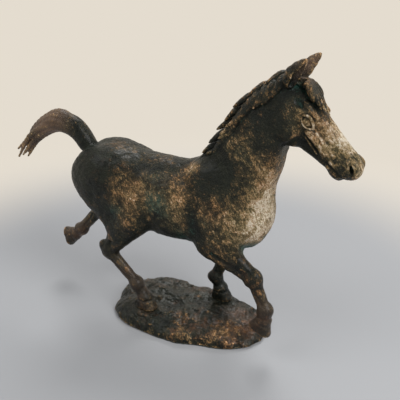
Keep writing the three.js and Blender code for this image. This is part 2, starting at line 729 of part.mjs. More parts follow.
const lock = new THREE.CatmullRomCurve3([
  onHead(8.5, 0, 13.6),
  onHead(13, -1, 14.8),
  onHead(20, -2, 14.2),
  onHead(29, -1, 12.8),
]);
const forelockShape = joined(
  [0, 1, 2, 3, 4].map((i) => {
    const [from, to] = [lock.getPoint(i / 5), lock.getPoint((i + 1) / 5)];
    return [bar(from, to, 4.4 - 0.6 * i, 3.8 - 0.6 * i), 1];
  }),
);
const forelockBox = new THREE.Box3().setFromPoints(lock.getPoints(4)).expandByScalar(12);
const browPlane = halfSpace(onHead(15, 0, 12.8), headUp.clone().addScaledVector(headOut, 0.08));
const underNeckTop = halfSpace(shifted(neckTop, jointGap / 2), neckTop.way.clone().negate());
const inNeck = underNeckTop.intersect(behindThroat);
const headSkin = skin(headShape, headBox.min, headBox.max, headCell).subtract(inNeck);
add("head", without(headSkin.subtract(hollow), [...headCutters, ...pinHoles("crest")]), bronze);
for (const ear of earParts) add(ear.name, ear.solid, rubbedBronze);
const forelockSkin = skin(forelockShape, forelockBox.min, forelockBox.max, forelockCell);
add("forelock", forelockSkin.intersect(browPlane), rubbedBronze);
add("tail", tailSolid, rubbedBronze);

// ---------------------------------------------------------------- the base

const baseSides = 36;

// The rock's outline: an oval with a few lobes, at the share of its size given.
function outlinePoint(angle, share, z, inset = 0) {
  const [a, b] = [baseLength / 2, baseWidth / 2];
  const oval = 1 / Math.hypot(Math.cos(angle) / a, Math.sin(angle) / b);
  const broad = 0.035 * Math.sin(3 * angle + 0.6) + 0.022 * Math.sin(5 * angle + 2);
  const lobes = 1 + broad + 0.012 * Math.sin(9 * angle);
  const reach = oval * lobes * share - inset;
  return v3(reach * Math.cos(angle), reach * Math.sin(angle), z);
}

// A closed surface through rings of points, each ring given as [share of the outline, height].
function ringSolid(rings, inset = 0) {
  const points = rings.flatMap(([share, height]) =>
    Array.from({ length: baseSides }, (_, i) => {
      const angle = (2 * Math.PI * i) / baseSides;
      const z = typeof height === "function" ? height(angle) : height;
      return outlinePoint(angle, share, z, inset);
    }),
  );
  const middleOf = ([, height]) => v3(0, 0, typeof height === "function" ? height(0) : height);
  points.push(middleOf(rings[0]), middleOf(rings.at(-1)));
  const [first, last] = [points.length - 2, points.length - 1];
  const faces = [];
  for (let i = 0; i < baseSides; i++) {
    const next = (i + 1) % baseSides;
    faces.push(first, next, i);
    for (let r = 0; r < rings.length - 1; r++) {
      const [p, q] = [r * baseSides, (r + 1) * baseSides];
      faces.push(p + i, p + next, q + next, p + i, q + next, q + i);
    }
    const top = (rings.length - 1) * baseSides;
    faces.push(top + i, top + next, last);
  }
  const geometry = new THREE.BufferGeometry();
  const position = points.flatMap((p) => p.toArray());
  geometry.setAttribute("position", new THREE.Float32BufferAttribute(position, 3));
  geometry.setIndex(faces);
  return solidOf(geometry);
}

const ledge = (height, swing, beat) => (angle) => height + swing * Math.sin(beat * angle + 1);
const rock = ringSolid([
  [1, feltThickness],
  [1.02, ledge(feltThickness + 4, 0.8, 4)],
  [0.96, ledge(feltThickness + 8, 0.9, 3)],
  [0.84, ledge(groundHeight - 3.6, 0.7, 5)],
  [0.62, ledge(groundHeight - 1.8, 0.5, 4)],
  [0.3, groundHeight - 1.2],
]);
const baseHollow = ringSolid([
  [0.9, feltThickness - 5],
  [0.88, baseCeiling],
]);

const standing = [
  ["fore", legs.left_foreleg, 1.5],
  ["hind", legs.right_hindleg, 1.5],
].map(([name, leg, forward]) => {
  const x = leg.coronet.x + forward;
  const on = (z) => v3(x, leg.coronet.y, z);
  return { name, leg, on };
});
const seatRadius = toeRadius + 4.5;
const seats = standing.map(({ on }) => rodSolid(on(baseCeiling + 1), on(groundHeight), seatRadius, 24));
const studTop = groundHeight + jointGap + studInHoof;
const studHoles = standing.map(({ on }) =>
  rodSolid(on(-1), on(studTop + jointGap), studRadius + jointGap),
);
const seatedRock = seats.reduce((sum, seat) => sum.add(seat), rock);
add("base", without(seatedRock, [baseHollow, ...studHoles]), bronze);

for (const leg of Object.values(legs)) {
  add(leg.name, without(leg.solid, studHoles), bronze);
  add(`${leg.name}_pin`, rodSolid(leg.pin.tip, leg.pin.tail, pinRadius), rawBrass);
}
add("tail_pin", rodSolid(tailPin.tip, tailPin.tail, pinRadius), rawBrass);

for (const { name, on } of standing) {
  const washerTop = baseCeiling - jointGap;
  const nutTop = washerTop - washerThickness - jointGap;
  const shaft = rodSolid(on(feltThickness + 1), on(studTop), studRadius);
  const hole = rodSolid(on(-1), on(groundHeight), studRadius + jointGap);
  add(`${name}_stud`, shaft, steel);
  const washer = rodSolid(on(washerTop - washerThickness), on(washerTop), washerRadius, 20);
  const nut = rodSolid(on(nutTop - nutHeight), on(nutTop), nutRadius, 6);
  add(`${name}_washer`, washer.subtract(hole), steel);
  add(`${name}_nut`, nut.subtract(hole), steel);
}
add("felt_pad", ringSolid([[1, 0], [1, feltThickness - jointGap]], feltInset), felt);

// ---------------------------------------------------------------- collars and their pins

add("waist_sleeve", without(sleeve(waist), pinHoles("waist")), rawBrass);
add("neck_sleeve", without(sleeve(neckRoot), pinHoles("neck")), rawBrass);
add("crest_sleeve", without(sleeve(neckTop), pinHoles("crest")), rawBrass);
for (const [name, pin] of Object.entries(sectionPins)) {
  add(name, rodSolid(pin.tip, pin.tail, pinRadius), rawBrass);
}

export default figure;
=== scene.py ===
"""A cast bronze horse statue at the canter on a low rock base, under its worn patina.

The sculpture is modelled as a clay field: the distance to its surface on a grid, in mm, which
shapes are joined to and cut from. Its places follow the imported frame. Meshes are in metres.
The castings are solid here, round the CAD's sleeves, pins and studs. The CAD's own are hollow.
"""

import math

import bmesh
import bpy
import numpy as np
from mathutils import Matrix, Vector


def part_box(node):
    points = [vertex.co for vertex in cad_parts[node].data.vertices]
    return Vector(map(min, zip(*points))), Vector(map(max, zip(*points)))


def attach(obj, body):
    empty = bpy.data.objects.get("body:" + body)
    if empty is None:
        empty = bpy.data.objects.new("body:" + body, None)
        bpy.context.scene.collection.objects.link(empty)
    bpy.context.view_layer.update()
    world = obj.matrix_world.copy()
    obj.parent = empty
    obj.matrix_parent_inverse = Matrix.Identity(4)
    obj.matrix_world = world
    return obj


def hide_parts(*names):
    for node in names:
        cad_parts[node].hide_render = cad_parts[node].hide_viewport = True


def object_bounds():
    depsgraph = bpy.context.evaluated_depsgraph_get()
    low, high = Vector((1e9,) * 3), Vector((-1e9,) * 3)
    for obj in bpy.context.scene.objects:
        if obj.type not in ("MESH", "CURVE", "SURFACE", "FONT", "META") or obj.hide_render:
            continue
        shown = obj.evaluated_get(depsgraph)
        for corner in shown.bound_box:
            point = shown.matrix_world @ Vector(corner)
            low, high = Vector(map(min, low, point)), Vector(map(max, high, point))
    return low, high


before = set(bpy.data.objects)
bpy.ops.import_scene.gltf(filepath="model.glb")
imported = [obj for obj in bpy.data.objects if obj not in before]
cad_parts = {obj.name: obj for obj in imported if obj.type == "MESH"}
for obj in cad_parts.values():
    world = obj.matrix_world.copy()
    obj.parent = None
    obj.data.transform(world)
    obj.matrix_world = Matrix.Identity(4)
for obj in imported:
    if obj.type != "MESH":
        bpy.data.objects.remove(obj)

import openvdb
from mathutils import Vector

CAD_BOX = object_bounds()
MM = 1000.0  # millimetres in a metre
FAR = 9.0  # mm: the field says no more than this

# ---------------- places, from the frame


def box_mm(*nodes):
    """The lowest and highest corner of some CAD nodes together, in mm."""
    boxes = [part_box(node) for node in nodes]
    low = np.min([tuple(b[0]) for b in boxes], axis=0) * MM
    high = np.max([tuple(b[1]) for b in boxes], axis=0) * MM
    return low, high


# The horse is drawn at these sizes, in mm, and stretches to the frame's.
DRAWN_SPAN = 319.3  # tail to muzzle
DRAWN_WIDTH = 68.4  # across the thighs
DRAWN_TALL = 239.7  # from the ground to the ears' tips
WAIST_DRAWN = -8.0  # the waist joint, from the middle of the body

ALL_LOW, ALL_HIGH = box_mm("tail", "head", "left_ear", "right_ear")
BASE_LOW, BASE_HIGH = box_mm("base")
HIND_LOW, HIND_HIGH = box_mm("hindquarters")
GROUND = BASE_HIGH[2]
ALONG = (ALL_HIGH[0] - ALL_LOW[0]) / DRAWN_SPAN
ACROSS = (HIND_HIGH[1] - HIND_LOW[1]) / DRAWN_WIDTH
UPRIGHT = (ALL_HIGH[2] - GROUND) / DRAWN_TALL
MIDDLE = HIND_HIGH[0] - WAIST_DRAWN * ALONG


def vec(*parts):
    return np.array(parts, float)


def spot(x, y, z):
    """A point of the pose: x and y from the middle of the body, z above the ground."""
    return vec(MIDDLE + x * ALONG, y * ACROSS, GROUND + z * UPRIGHT)


def unit(v):
    return v / np.linalg.norm(v)


class Head:
    """The head's own directions: out from the poll to the lips, side to its left, up."""

    def __init__(self, poll, pitch, turn, size):
        down, round_ = math.radians(pitch), math.radians(turn)
        self.poll, self.pitch, self.turn, self.size = poll, pitch, turn, size
        self.out = vec(math.cos(down) * math.cos(round_), math.cos(down) * math.sin(round_), -math.sin(down))
        self.side = vec(-math.sin(round_), math.cos(round_), 0)
        self.up = np.cross(self.out, self.side)

    def at(self, out, side, up):
        return self.poll + self.size * (out * self.out + side * self.side + up * self.up)


HEAD = Head(spot(90, 0, 214), 39, -10, 1.16)


# ---------------- clay: shapes on a grid


def bar(a, b, radius_a, radius_b, flat=1.0):
    """A tapered round bar from a to b, made thinner from side to side by flat."""
    a, b = np.asarray(a, float), np.asarray(b, float)
    run = b - a
    square = run @ run
    reach = max(radius_a, radius_b)

    def distance(x, y, z):
        px, py, pz = x - a[0], y - a[1], z - a[2]
        t = np.clip((px * run[0] + py * run[1] + pz * run[2]) / square, 0, 1)
        off = np.sqrt((px - t * run[0]) ** 2 + ((py - t * run[1]) / flat) ** 2 + (pz - t * run[2]) ** 2)
        return (off - (radius_a + t * (radius_b - radius_a))) * (0.5 + 0.5 * flat)

    return np.minimum(a, b) - reach, np.maximum(a, b) + reach, distance


def egg(centre, size, pitch=0.0, turn=0.0):
    """An ellipsoid with its nose turned down by pitch and then to the left by turn, in degrees."""
    centre, size = np.asarray(centre, float), np.asarray(size, float)
    p, t = math.radians(pitch), math.radians(turn)
    tilt = np.array([[math.cos(p), 0, math.sin(p)], [0, 1, 0], [-math.sin(p), 0, math.cos(p)]])
    spin = np.array([[math.cos(t), -math.sin(t), 0], [math.sin(t), math.cos(t), 0], [0, 0, 1]])
    back = (spin @ tilt).T

    def distance(x, y, z):
        d = (x - centre[0], y - centre[1], z - centre[2])
        local = [back[i, 0] * d[0] + back[i, 1] * d[1] + back[i, 2] * d[2] for i in range(3)]
        k0 = np.sqrt(sum((local[i] / size[i]) ** 2 for i in range(3)))
        k1 = np.sqrt(sum((local[i] / size[i] ** 2) ** 2 for i in range(3)))
        return k0 * (k0 - 1) / np.maximum(k1, 1e-6)

    return centre - size.max(), centre + size.max(), distance


def smooth_min(a, b, blend):
    """The smaller of two distances, rounded off where they are within blend mm of each other."""
    if blend <= 0:
        return np.minimum(a, b)
    h = np.maximum(blend - np.abs(a - b), 0) / blend
    return np.minimum(a, b) - h * h * blend * 0.25


def smooth_max(a, b, blend):
    return -smooth_min(-a, -b, blend)


class Clay:
    """A solid as the distance to its surface at the points of a grid."""

    def __init__(self, low, high, step):
        self.low, self.step = np.asarray(low, float), step
        self.count = np.ceil((np.asarray(high, float) - self.low) / step).astype(int) + 1
        self.values = np.full(self.count, FAR, np.float32)

    def window(self, low, high):
        """The part of the grid between two corners, as slices and the places of its points."""
        first = np.clip(np.floor((low - self.low) / self.step).astype(int), 0, self.count)
        last = np.clip(np.ceil((high - self.low) / self.step).astype(int) + 1, 0, self.count)
        if np.any(last <= first):
            return None, None
        axes = [
            (self.low[i] + self.step * np.arange(first[i], last[i])).astype(np.float32)
            for i in range(3)
        ]
        slices = tuple(slice(first[i], last[i]) for i in range(3))
        return slices, (axes[0][:, None, None], axes[1][None, :, None], axes[2][None, None, :])

    def add(self, shape, blend=0.0):
        low, high, distance = shape
        slices, points = self.window(low - FAR - blend, high + FAR + blend)
        if slices:
            new = smooth_min(self.values[slices], distance(*points).astype(np.float32), blend)
            self.values[slices] = np.minimum(new, FAR)

    def cut(self, shape, blend=0.0):
        low, high, distance = shape
        slices, points = self.window(low - blend, high + blend)
        if slices:
            gone = -distance(*points).astype(np.float32)
            self.values[slices] = -smooth_min(-self.values[slices], -gone, blend)

    def softened(self, reach):
        """The field averaged over a cube, reach mm each way."""
        n = max(1, round(reach / self.step))
        out = self.values
        for axis in range(3):
            pad = [(0, 0)] * 3
            pad[axis] = (n + 1, n)
            total = np.cumsum(np.pad(out, pad, mode="edge"), axis=axis, dtype=np.float64)
            high = np.take(total, range(2 * n + 1, total.shape[axis]), axis=axis)
            low = np.take(total, range(0, total.shape[axis] - 2 * n - 1), axis=axis)
            out = ((high - low) / (2 * n + 1)).astype(np.float32)
        return out

    def sample(self, values, points):
        """Values of the grid at some points, between the grid's own."""
        at = np.clip((points - self.low) / self.step, 0, self.count - 1.001)
        cell = at.astype(int)
        part = at - cell
        total = np.zeros(len(points))
        for corner in np.ndindex(2, 2, 2):
            share = np.prod(np.where(corner, part, 1 - part), axis=1)
            i, j, k = (cell + corner).T
            total += share * values[i, j, k]
        return total

    def skin(self):
        """The surface's points in mm and its faces, in the order that the grid gives them."""
        grid = openvdb.FloatGrid(FAR)
        grid.copyFromArray(self.values)
        points, triangles, quads = grid.convertToPolygons(isovalue=0.0, adaptivity=0.0)
        return self.low + points * self.step, [*triangles.tolist(), *quads.tolist()]


def ripple(points, wavelength, seed, waves=24):
    """Smooth noise of about -1 to 1: waves in seeded directions, in mm."""
    rng = np.random.default_rng(seed)
    ways = rng.normal(size=(waves, 3))
    ways /= np.linalg.norm(ways, axis=1)[:, None]
    ways *= (2 * math.pi / wavelength * rng.uniform(0.6, 1.5, waves))[:, None]
    return np.sin(points @ ways.T + rng.uniform(0, 2 * math.pi, waves)).sum(axis=1) * (1.2 / math.sqrt(waves))


# ---------------- the horse


def trunk(clay):
    clay.add(egg(spot(4, 0, 108), (56, 31, 36)))
    clay.add(egg(spot(42, 0, 110), (36, 28, 39.5)), 10)
    clay.add(egg(spot(-32, 0, 116), (38, 27.5, 28.5)), 12)
    clay.add(egg(spot(-58, 0, 118), (33, 27.5, 31)), 12)
    clay.add(bar(spot(22, 0, 134), spot(40, 0, 139), 9, 10.5), 12)
    clay.add(egg(spot(66, 0, 105), (20, 22.5, 28)), 10)
    for s in (-1, 1):
        clay.add(bar(spot(34, s * 13, 136), spot(68, s * 16, 108), 11, 12, 0.8), 9)
        clay.add(egg(spot(42, s * 20, 97), (22, 10, 18), 25), 8)
        clay.add(egg(spot(76, s * 9.5, 100), (9.5, 10, 14)), 6)
        clay.add(egg(spot(-38, s * 18, 133), (8, 6, 6)), 10)
        clay.add(egg(spot(-71, s * 12.5, 117), (20, 14, 28), -12), 8)
        # behind the shoulder, in front of the thigh, and down the buttock
        clay.cut(bar(spot(27, s * 32.0, 130), spot(29, s * 32.5, 96), 2.6, 3.0), 7)
        clay.cut(egg(spot(-17, s * 34, 112), (7, 4.6, 16), 14), 8)
        clay.cut(bar(spot(-62, s * 29.5, 134), spot(-66, s * 28.5, 106), 1.8, 2.2), 6)


def neck(clay):
    nape = HEAD.at(4, 0, -5)
    clay.add(bar(spot(54, 0, 125), spot(66, 0, 156), 33, 25, 0.68), 14)
    clay.add(bar(spot(66, 0, 156), spot(77, 0, 184), 25, 19, 0.66), 8)
    clay.add(bar(spot(77, 0, 184), nape, 19, 14.5, 0.72), 8)
    for s in (-1, 1):
        clay.add(bar(spot(75, s * 11, 130), HEAD.at(16, s * 7, -15), 9, 5.5, 0.9), 7)


def head_egg(clay, place, size, blend, tilt=0.0):
    clay.add(egg(HEAD.at(*place), vec(*size) * HEAD.size, HEAD.pitch + tilt, HEAD.turn), blend)


def head_bar(clay, a, b, radius_a, radius_b, blend, flat=1.0):
    clay.add(bar(HEAD.at(*a), HEAD.at(*b), radius_a * HEAD.size, radius_b * HEAD.size, flat), blend)


def head(clay):
    head_egg(clay, (14, 0, -3), (17, 12, 14), 8)
    for s in (-1, 1):
        head_egg(clay, (20, s * 5.4, -12), (14, 8.0, 12.3), 3)
        head_egg(clay, (24, s * 7.2, 3.0), (8.5, 4.6, 5.4), 4)
        head_bar(clay, (32, s * 9.4, -2.6), (47, s * 7.0, -5.4), 1.9, 1.1, 2)
    head_bar(clay, (18, 0, 3), (58, 0, 0.5), 8.5, 6.0, 6, 0.95)
    head_bar(clay, (24, 0, -13), (60, 0, -9), 7.6, 4.2, 5, 0.85)
    head_bar(clay, (30, 0, -5), (62, 0, -4), 8.0, 6.8, 6, 0.9)
    head_egg(clay, (64, 0, -2.5), (9, 8.2, 8.0), 4)
    head_egg(clay, (61, 0, -11.4), (6.5, 5.4, 4.4), 2)


LID_STEPS = 8  # bars in an eyelid
MOUTH = [  # the mouth's line from its corner to the middle of the lips: out, to the side, up
    (51.0, 7.2, -9.0), (57, 7.0, -8.6), (63, 6.6, -8.4), (68, 5.0, -8.2), (71.4, 2.4, -8.0), (72.4, 0, -7.9),
]


def face(clay):
    for s in (-1, 1):
        # the hollows between the cheek and the face, over the eye, and along the nose
        clay.cut(egg(HEAD.at(39, s * 10.6, -11.5), (8.5, 3.4, 5.2), HEAD.pitch, HEAD.turn), 4)
        clay.cut(egg(HEAD.at(15.6, s * 10.2, 6.6), (4.2, 2.4, 2.8), HEAD.pitch, HEAD.turn), 2.4)
        clay.cut(egg(HEAD.at(47, s * 9.4, 2.6), (13, 2.6, 2.6), HEAD.pitch, HEAD.turn), 4)
        # the eye in its socket, between two lids
        clay.cut(egg(HEAD.at(27.0, s * 13.0, 2.4), (7.4, 3.6, 5.0), HEAD.pitch + 8, HEAD.turn - s * 10), 1.6)
        head_egg(clay, (27.2, s * 9.2, 2.2), (3.9, 3.4, 3.5), 0.0)
        for rise, thick in ((3.9, 0.85), (-2.7, 0.6)):
            for i in range(LID_STEPS):
                a, b = eye_lid(s, rise, i / LID_STEPS), eye_lid(s, rise, (i + 1) / LID_STEPS)
                head_bar(clay, a, b, thick, thick, 0.3)
        clay.cut(egg(HEAD.at(28.4, s * 12.9, 2.2), (1.3, 0.8, 1.3)), 0.2)
        # brow bone
        head_bar(clay, (19.5, s * 8.6, 8.4), (29, s * 8.6, 7.8), 1.8, 1.4, 2.4)
        # the flare round the nostril, and the nostril itself
        head_egg(clay, (65.6, s * 5.6, 1.0), (5.2, 2.7, 4.2), 2, 24)
        clay.cut(bar(HEAD.at(64.4, s * 9.6, 2.6), HEAD.at(69.4, s * 7.6, -1.6), 1.9, 1.5), 0.6)
        clay.cut(egg(HEAD.at(66.2, s * 6.8, 0.8), (3.2, 2.6, 1.6), HEAD.pitch + 34, HEAD.turn), 0.6)
        # the lips, parted by the mouth's line
        head_bar(clay, (55, s * 6.6, -6.4), (66, s * 5.2, -5.8), 1.5, 1.5, 1.5)
        head_bar(clay, (55, s * 5.6, -10.6), (64, s * 4.0, -10.2), 1.3, 1.5, 1.5)
        for a, b in zip(MOUTH, MOUTH[1:]):
            clay.cut(bar(HEAD.at(a[0], s * a[1], a[2]), HEAD.at(b[0], s * b[1], b[2]), 1.0, 1.0), 0.4)
        # the cheek's edge and the veins down the face
        clay.cut(bar(HEAD.at(31.5, s * 11.6, -7.0), HEAD.at(27.5, s * 9.5, -22.0), 1.1, 1.4), 3)
        head_bar(clay, (33, s * 8.9, -6.6), (45, s * 7.2, -9.6), 0.6, 0.5, 1.2)
        head_bar(clay, (36, s * 8.3, 0.2), (52, s * 6.4, -2.4), 0.6, 0.5, 1.4)


def eye_lid(s, rise, share):
    """A point of an eyelid, from the eye's back corner to its front one."""
    arch = math.sin(math.pi * share) ** 0.8
    return 22.0 + 10.6 * share, s * (10.3 + 1.9 * arch - 0.6 * share), 2.6 + rise * arch - 1.2 * share


def ear_ends(s):
    """The middle of an ear's root, and its tip."""
    return HEAD.at(2, s * 7, 6.5), HEAD.at(1, s * 10.5, 28)


def ear(clay, s):
    base, tip = ear_ends(s)
    front = HEAD.out * 0.86 + HEAD.side * s * 0.5
    rise = tip - base
    stages = [(0.0, 3.9), (0.2, 4.9), (0.45, 5.3), (0.7, 4.0), (0.88, 2.3), (1.0, 0.9)]
    bow = HEAD.side * s * 1.6 - HEAD.out * 1.0

    def on(share, forward=0.0):
        return base + rise * share + bow * math.sin(math.pi * share) + front * forward

    for (low, wide), (high, narrow) in zip(stages, stages[1:]):
        clay.add(bar(on(low), on(high), wide, narrow, 0.85), 2)
    for (low, high), (wide, narrow) in zip([(0.18, 0.5), (0.5, 0.9)], [(2.4, 3.3), (3.3, 1.4)]):
        clay.cut(bar(on(low, 4.6), on(high, 3.4 if high > 0.8 else 4.6), wide, narrow), 0.9)


# Each leg: its joints from the top down, the way that its sole faces, its side of the horse, how far
# below its bend it is parted from the body, in mm, and room, where that isn't LEG_ROOM.
FORELEGS = {
    "right_foreleg": dict(
        top=spot(68, -18, 104), bend=spot(46, -21, 84), knee=spot(82, -23, 60), fetlock=spot(94, -24, 33),
        coronet=spot(93, -24, 22), sole=vec(-0.42, 0, -0.91), side=-1, cut=26,
    ),
    "left_foreleg": dict(
        top=spot(66, 18, 104), bend=spot(43, 21, 83), knee=spot(41, 21, 47), fetlock=spot(31, 21, 21.5),
        coronet=spot(36, 21, 10.6), sole=vec(0, 0, -1), side=1, cut=19,
    ),
}
HINDLEGS = {
    "right_hindleg": dict(
        top=spot(-58, -15, 125), bend=spot(-30, -23, 90), knee=spot(-57, -22, 53), fetlock=spot(-31, -21, 24),
        coronet=spot(-23, -21, 10.6), sole=vec(0, 0, -1), side=-1, cut=27,
    ),
    "left_hindleg": dict(
        top=spot(-60, 15, 125), bend=spot(-47, 23, 87), knee=spot(-95, 22, 66), fetlock=spot(-118, 21, 40),
        coronet=spot(-127, 21, 32), sole=vec(-0.75, 0, -0.25), side=1, cut=30, room=(21, 15.5),
    ),
}
LEGS = {**FORELEGS, **HINDLEGS}
STANDING = (FORELEGS["left_foreleg"], HINDLEGS["right_hindleg"])
LEG_ROOM = (15, 14)  # mm: half of what the body gives up to a leg, fore and aft and from side to side
LEG_SOCKET = 44  # mm: how far down a leg the body gives way to it
LEG_BLOCK = (90, 60, 160)  # mm: holds all of a leg, half its depth and width and all its length
LEG_MARGIN = 19  # mm of grid round a leg's joints
HOOF_TALL = 10.6  # mm, from the coronet to the sole


def front_of(a, b):
    """The direction square to the limb from a to b that points forwards."""
    front = unit(np.cross(b - a, (0, 1, 0)))
    return front if front[0] > 0 else -front


def hoof(clay, leg):
    down = unit(leg["sole"])
    way = unit(leg["coronet"] - leg["fetlock"]) + front_of(leg["fetlock"], leg["coronet"]) * 0.8
    way = unit(way - (way @ down) * down)
    top, sole = leg["coronet"], leg["coronet"] + down * HOOF_TALL
    walls = [
        bar(top + way * 0.3, sole + way * 4.6, 6.1, 7.1),
        bar(top - way * 1.2, sole - way * 2.8, 5.5, 6.1),
    ]
    low = np.minimum(walls[0][0], walls[1][0])
    high = np.maximum(walls[0][1], walls[1][1])

    def distance(x, y, z):
        whole = smooth_min(walls[0][2](x, y, z), walls[1][2](x, y, z), 3)
        under = (x - sole[0]) * down[0] + (y - sole[1]) * down[1] + (z - sole[2]) * down[2]
        above = -under - HOOF_TALL
        band = np.maximum(np.abs(under + 9.2) - 0.5, 0)
        wall = np.where(above < 1, whole + 0.45 * np.exp(-(band / 0.5) ** 2), whole)
        return np.maximum(wall, under)

    clay.add((low, high, distance), 1.0)
    # the frog and the hollow of the sole, where it can be seen
    clay.cut(egg(sole + way * 1.0 + down * 0.6, (4.6, 4.6, 4.6) * np.abs(1 - 0.62 * np.abs(down))), 0.6)
    clay.add(bar(sole - way * 5.0 - down * 1.2, sole + way * 1.5 - down * 1.2, 1.5, 0.6), 0.6)


def lower_leg(clay, leg, knee_size):
    ahead = front_of(leg["knee"], leg["fetlock"])
    run = unit(leg["fetlock"] - leg["knee"])
    clay.add(egg(leg["knee"], knee_size), 3)
    clay.add(bar(leg["knee"], leg["fetlock"], 5.5, 4.8, 0.85), 3)
    tendon_top = leg["knee"] - ahead * 3.4 + run * 2
    clay.add(bar(tendon_top, leg["fetlock"] - ahead * 2.2, 3.0, 3.3, 0.8), 1.6)
    for s in (-1, 1):
        split = vec(0, s * 4.6, 0)
        high = tendon_top + ahead * 1.2 + run * 5 + split
        low = leg["fetlock"] + ahead * 0.2 - run * 6 + split
        clay.cut(bar(high, low, 0.9, 0.9), 2)
    clay.add(egg(leg["fetlock"], (6.5, 6.2, 6.5)), 3)
    clay.add(egg(leg["fetlock"] - ahead * 4.2 + run * 1.5, (3.6, 3.8, 3.8)), 2.5)
    clay.add(bar(leg["fetlock"], leg["coronet"], 5.3, 5.7, 0.95), 3)
    ring = (6.6, 6.4, 3.0) if leg["sole"][2] < -0.8 else (5, 6.2, 6.2)
    clay.add(egg(leg["coronet"] - unit(leg["sole"]) * 0.8, ring), 2)
    hoof(clay, leg)


def foreleg(clay, leg):
    top, elbow, knee = leg["top"], leg["bend"], leg["knee"]
    ahead, run = front_of(elbow, knee), unit(knee - elbow)
    clay.add(bar(top, elbow, 12, 12.5, 0.75), 8)
    clay.add(bar(elbow, knee, 12.5, 7.0, 0.78), 8)
    clay.add(egg(elbow + (knee - elbow) * 0.3 + ahead * 3.2, (8, 7.8, 14)), 6)
    clay.add(egg(elbow - run * 3 - ahead * 7, (6, 5, 6)), 5)
    crease = vec(0, leg["side"] * 9.5, 0)
    high = elbow + run * 4 - ahead * 2 + crease
    low = knee - run * 9 - ahead * 0.5 + crease * 0.75
    clay.cut(bar(high, low, 1.0, 0.8), 4)
    lower_leg(clay, leg, (7.4, 6.8, 8.4))
    clay.add(egg(knee - front_of(knee, leg["fetlock"]) * 5.2 + run * 1, (3.2, 3.6, 4.2)), 2.5)


def hindleg(clay, leg):
    top, stifle, hock, s = leg["top"], leg["bend"], leg["knee"], leg["side"]
    behind, run = -front_of(stifle, hock), unit(hock - stifle)
    shank = unit(leg["fetlock"] - hock)
    clay.add(bar(top, stifle + vec(-4, -s * 3, 0), 22, 14.5, 0.72), 9)
    buttock, gaskin = top + vec(-20, -s * 2, -6), stifle + (hock - stifle) * 0.35 + vec(-6, 0, 0)
    clay.add(bar(buttock, gaskin, 15, 9.5, 0.72), 9)
    clay.add(egg(stifle + vec(0, -s * 2, 2), (12, 9.5, 12)), 8)
    clay.add(bar(stifle, hock, 12.5, 7.0, 0.78), 8)
    clay.add(bar(stifle + run * 14 + behind * 6, hock + behind * 4.6 - run * 2, 6.6, 2.8, 0.8), 3)
    hollow = vec(0, s * 6.2, 0)
    high, low = hock - run * 14 + behind * 3.0 + hollow, hock - run * 4 + behind * 1.6 + hollow
    clay.cut(bar(high, low, 1.4, 1.1), 3)
    lower_leg(clay, leg, (7.4, 6.6, 8.2))
    clay.add(egg(hock + behind * 5.2 - shank * 2.5, (4.2, 4.0, 4.8)), 3)


def course(points, t):
    """A point at share t along a smooth curve through the points."""
    points = [np.asarray(p, float) for p in points]
    points = [2 * points[0] - points[1], *points, 2 * points[-1] - points[-2]]
    at = min(t, 0.9999) * (len(points) - 3)
    i, u = int(at), at - int(at)
    a, b, c, d = points[i:i + 4]
    square, cube = 2 * a - 5 * b + 4 * c - d, 3 * b - a - 3 * c + d
    return 0.5 * (2 * b + (c - a) * u + square * u * u + cube * u ** 3)


def lock(clay, points, root, thick, tip, blend=1.0, steps=14, flat=1.0):
    """A lock of hair along a curve: it swells from its root to its middle and ends in a point."""

    def radius(t):
        if t < 0.4:
            return root + (thick - root) * t / 0.4
        return thick + (tip - thick) * ((t - 0.4) / 0.6) ** 1.4

    for i in range(steps):
        a, b = i / steps, (i + 1) / steps
        clay.add(bar(course(points, a), course(points, b), radius(a), radius(b), flat), blend)


# The top of the neck, from the poll to the withers.
CREST = [HEAD.at(-1, 0, 8.5), spot(73, 0, 205), spot(60, 0, 187), spot(48, 0, 167), spot(37, 0, 149)]


MANE_LOCKS, TAIL_STRANDS = 15, 13


def mane(clay):
    rng = np.random.default_rng(4)
    for i in range(MANE_LOCKS):
        share = (i + 0.3) / MANE_LOCKS
        root = course(CREST, share)
        sway = rng.uniform(-1, 1, 4)
        long = 1.0 - 0.25 * share
        drop = vec(-15, -11, -15) * long
        fall = [
            root + vec(3, 1, -4),
            root + vec(-1, -6.5, 1),
            root + vec(-6, -10.5, -6) * long + vec(sway[0], 0, 0),
            root + drop + vec(2.5 * sway[1], -1.5 + sway[2], 3 * sway[3]),
        ]
        lock(clay, fall, 4.2, 3.6, 0.8, 0.9)
        if i % 2 == 0:
            over = [
                root + vec(3, 2, -3),
                root + vec(-3, 0.5, 2.4),
                root + vec(-9, -4, 0) + vec(0, sway[1], 0),
                root + vec(-16, -6, -7) + vec(0, sway[2], 2 * sway[0]),
            ]
            lock(clay, over, 4.0, 3.3, 0.8, 0.9)


FORELOCK = [  # each lock: how far to the side, how far out its tip reaches, and how high it is
    (-3.4, 21, 11.4), (-2.2, 27, 11.4), (-1.0, 30, 12.0), (0.2, 33, 11.6), (1.5, 28, 12.2), (2.8, 23, 11.6),
]


def forelock(clay):
    for s, far, high in FORELOCK:
        fall = [
            HEAD.at(3, s * 0.5, 9.5),
            HEAD.at(9, s * 1.0, 14.6),
            HEAD.at(17, s * 1.7 - 1, 14.4),
            HEAD.at((17 + far) / 2, s * 1.8 - 1.6, 14.0 - 0.02 * far),
            HEAD.at(far, s * 1.3 - 2.0, high),
        ]
        lock(clay, fall, 2.4, 2.5, 0.5, 0.6)


TAIL_ROOT = spot(-84, 0, 142)


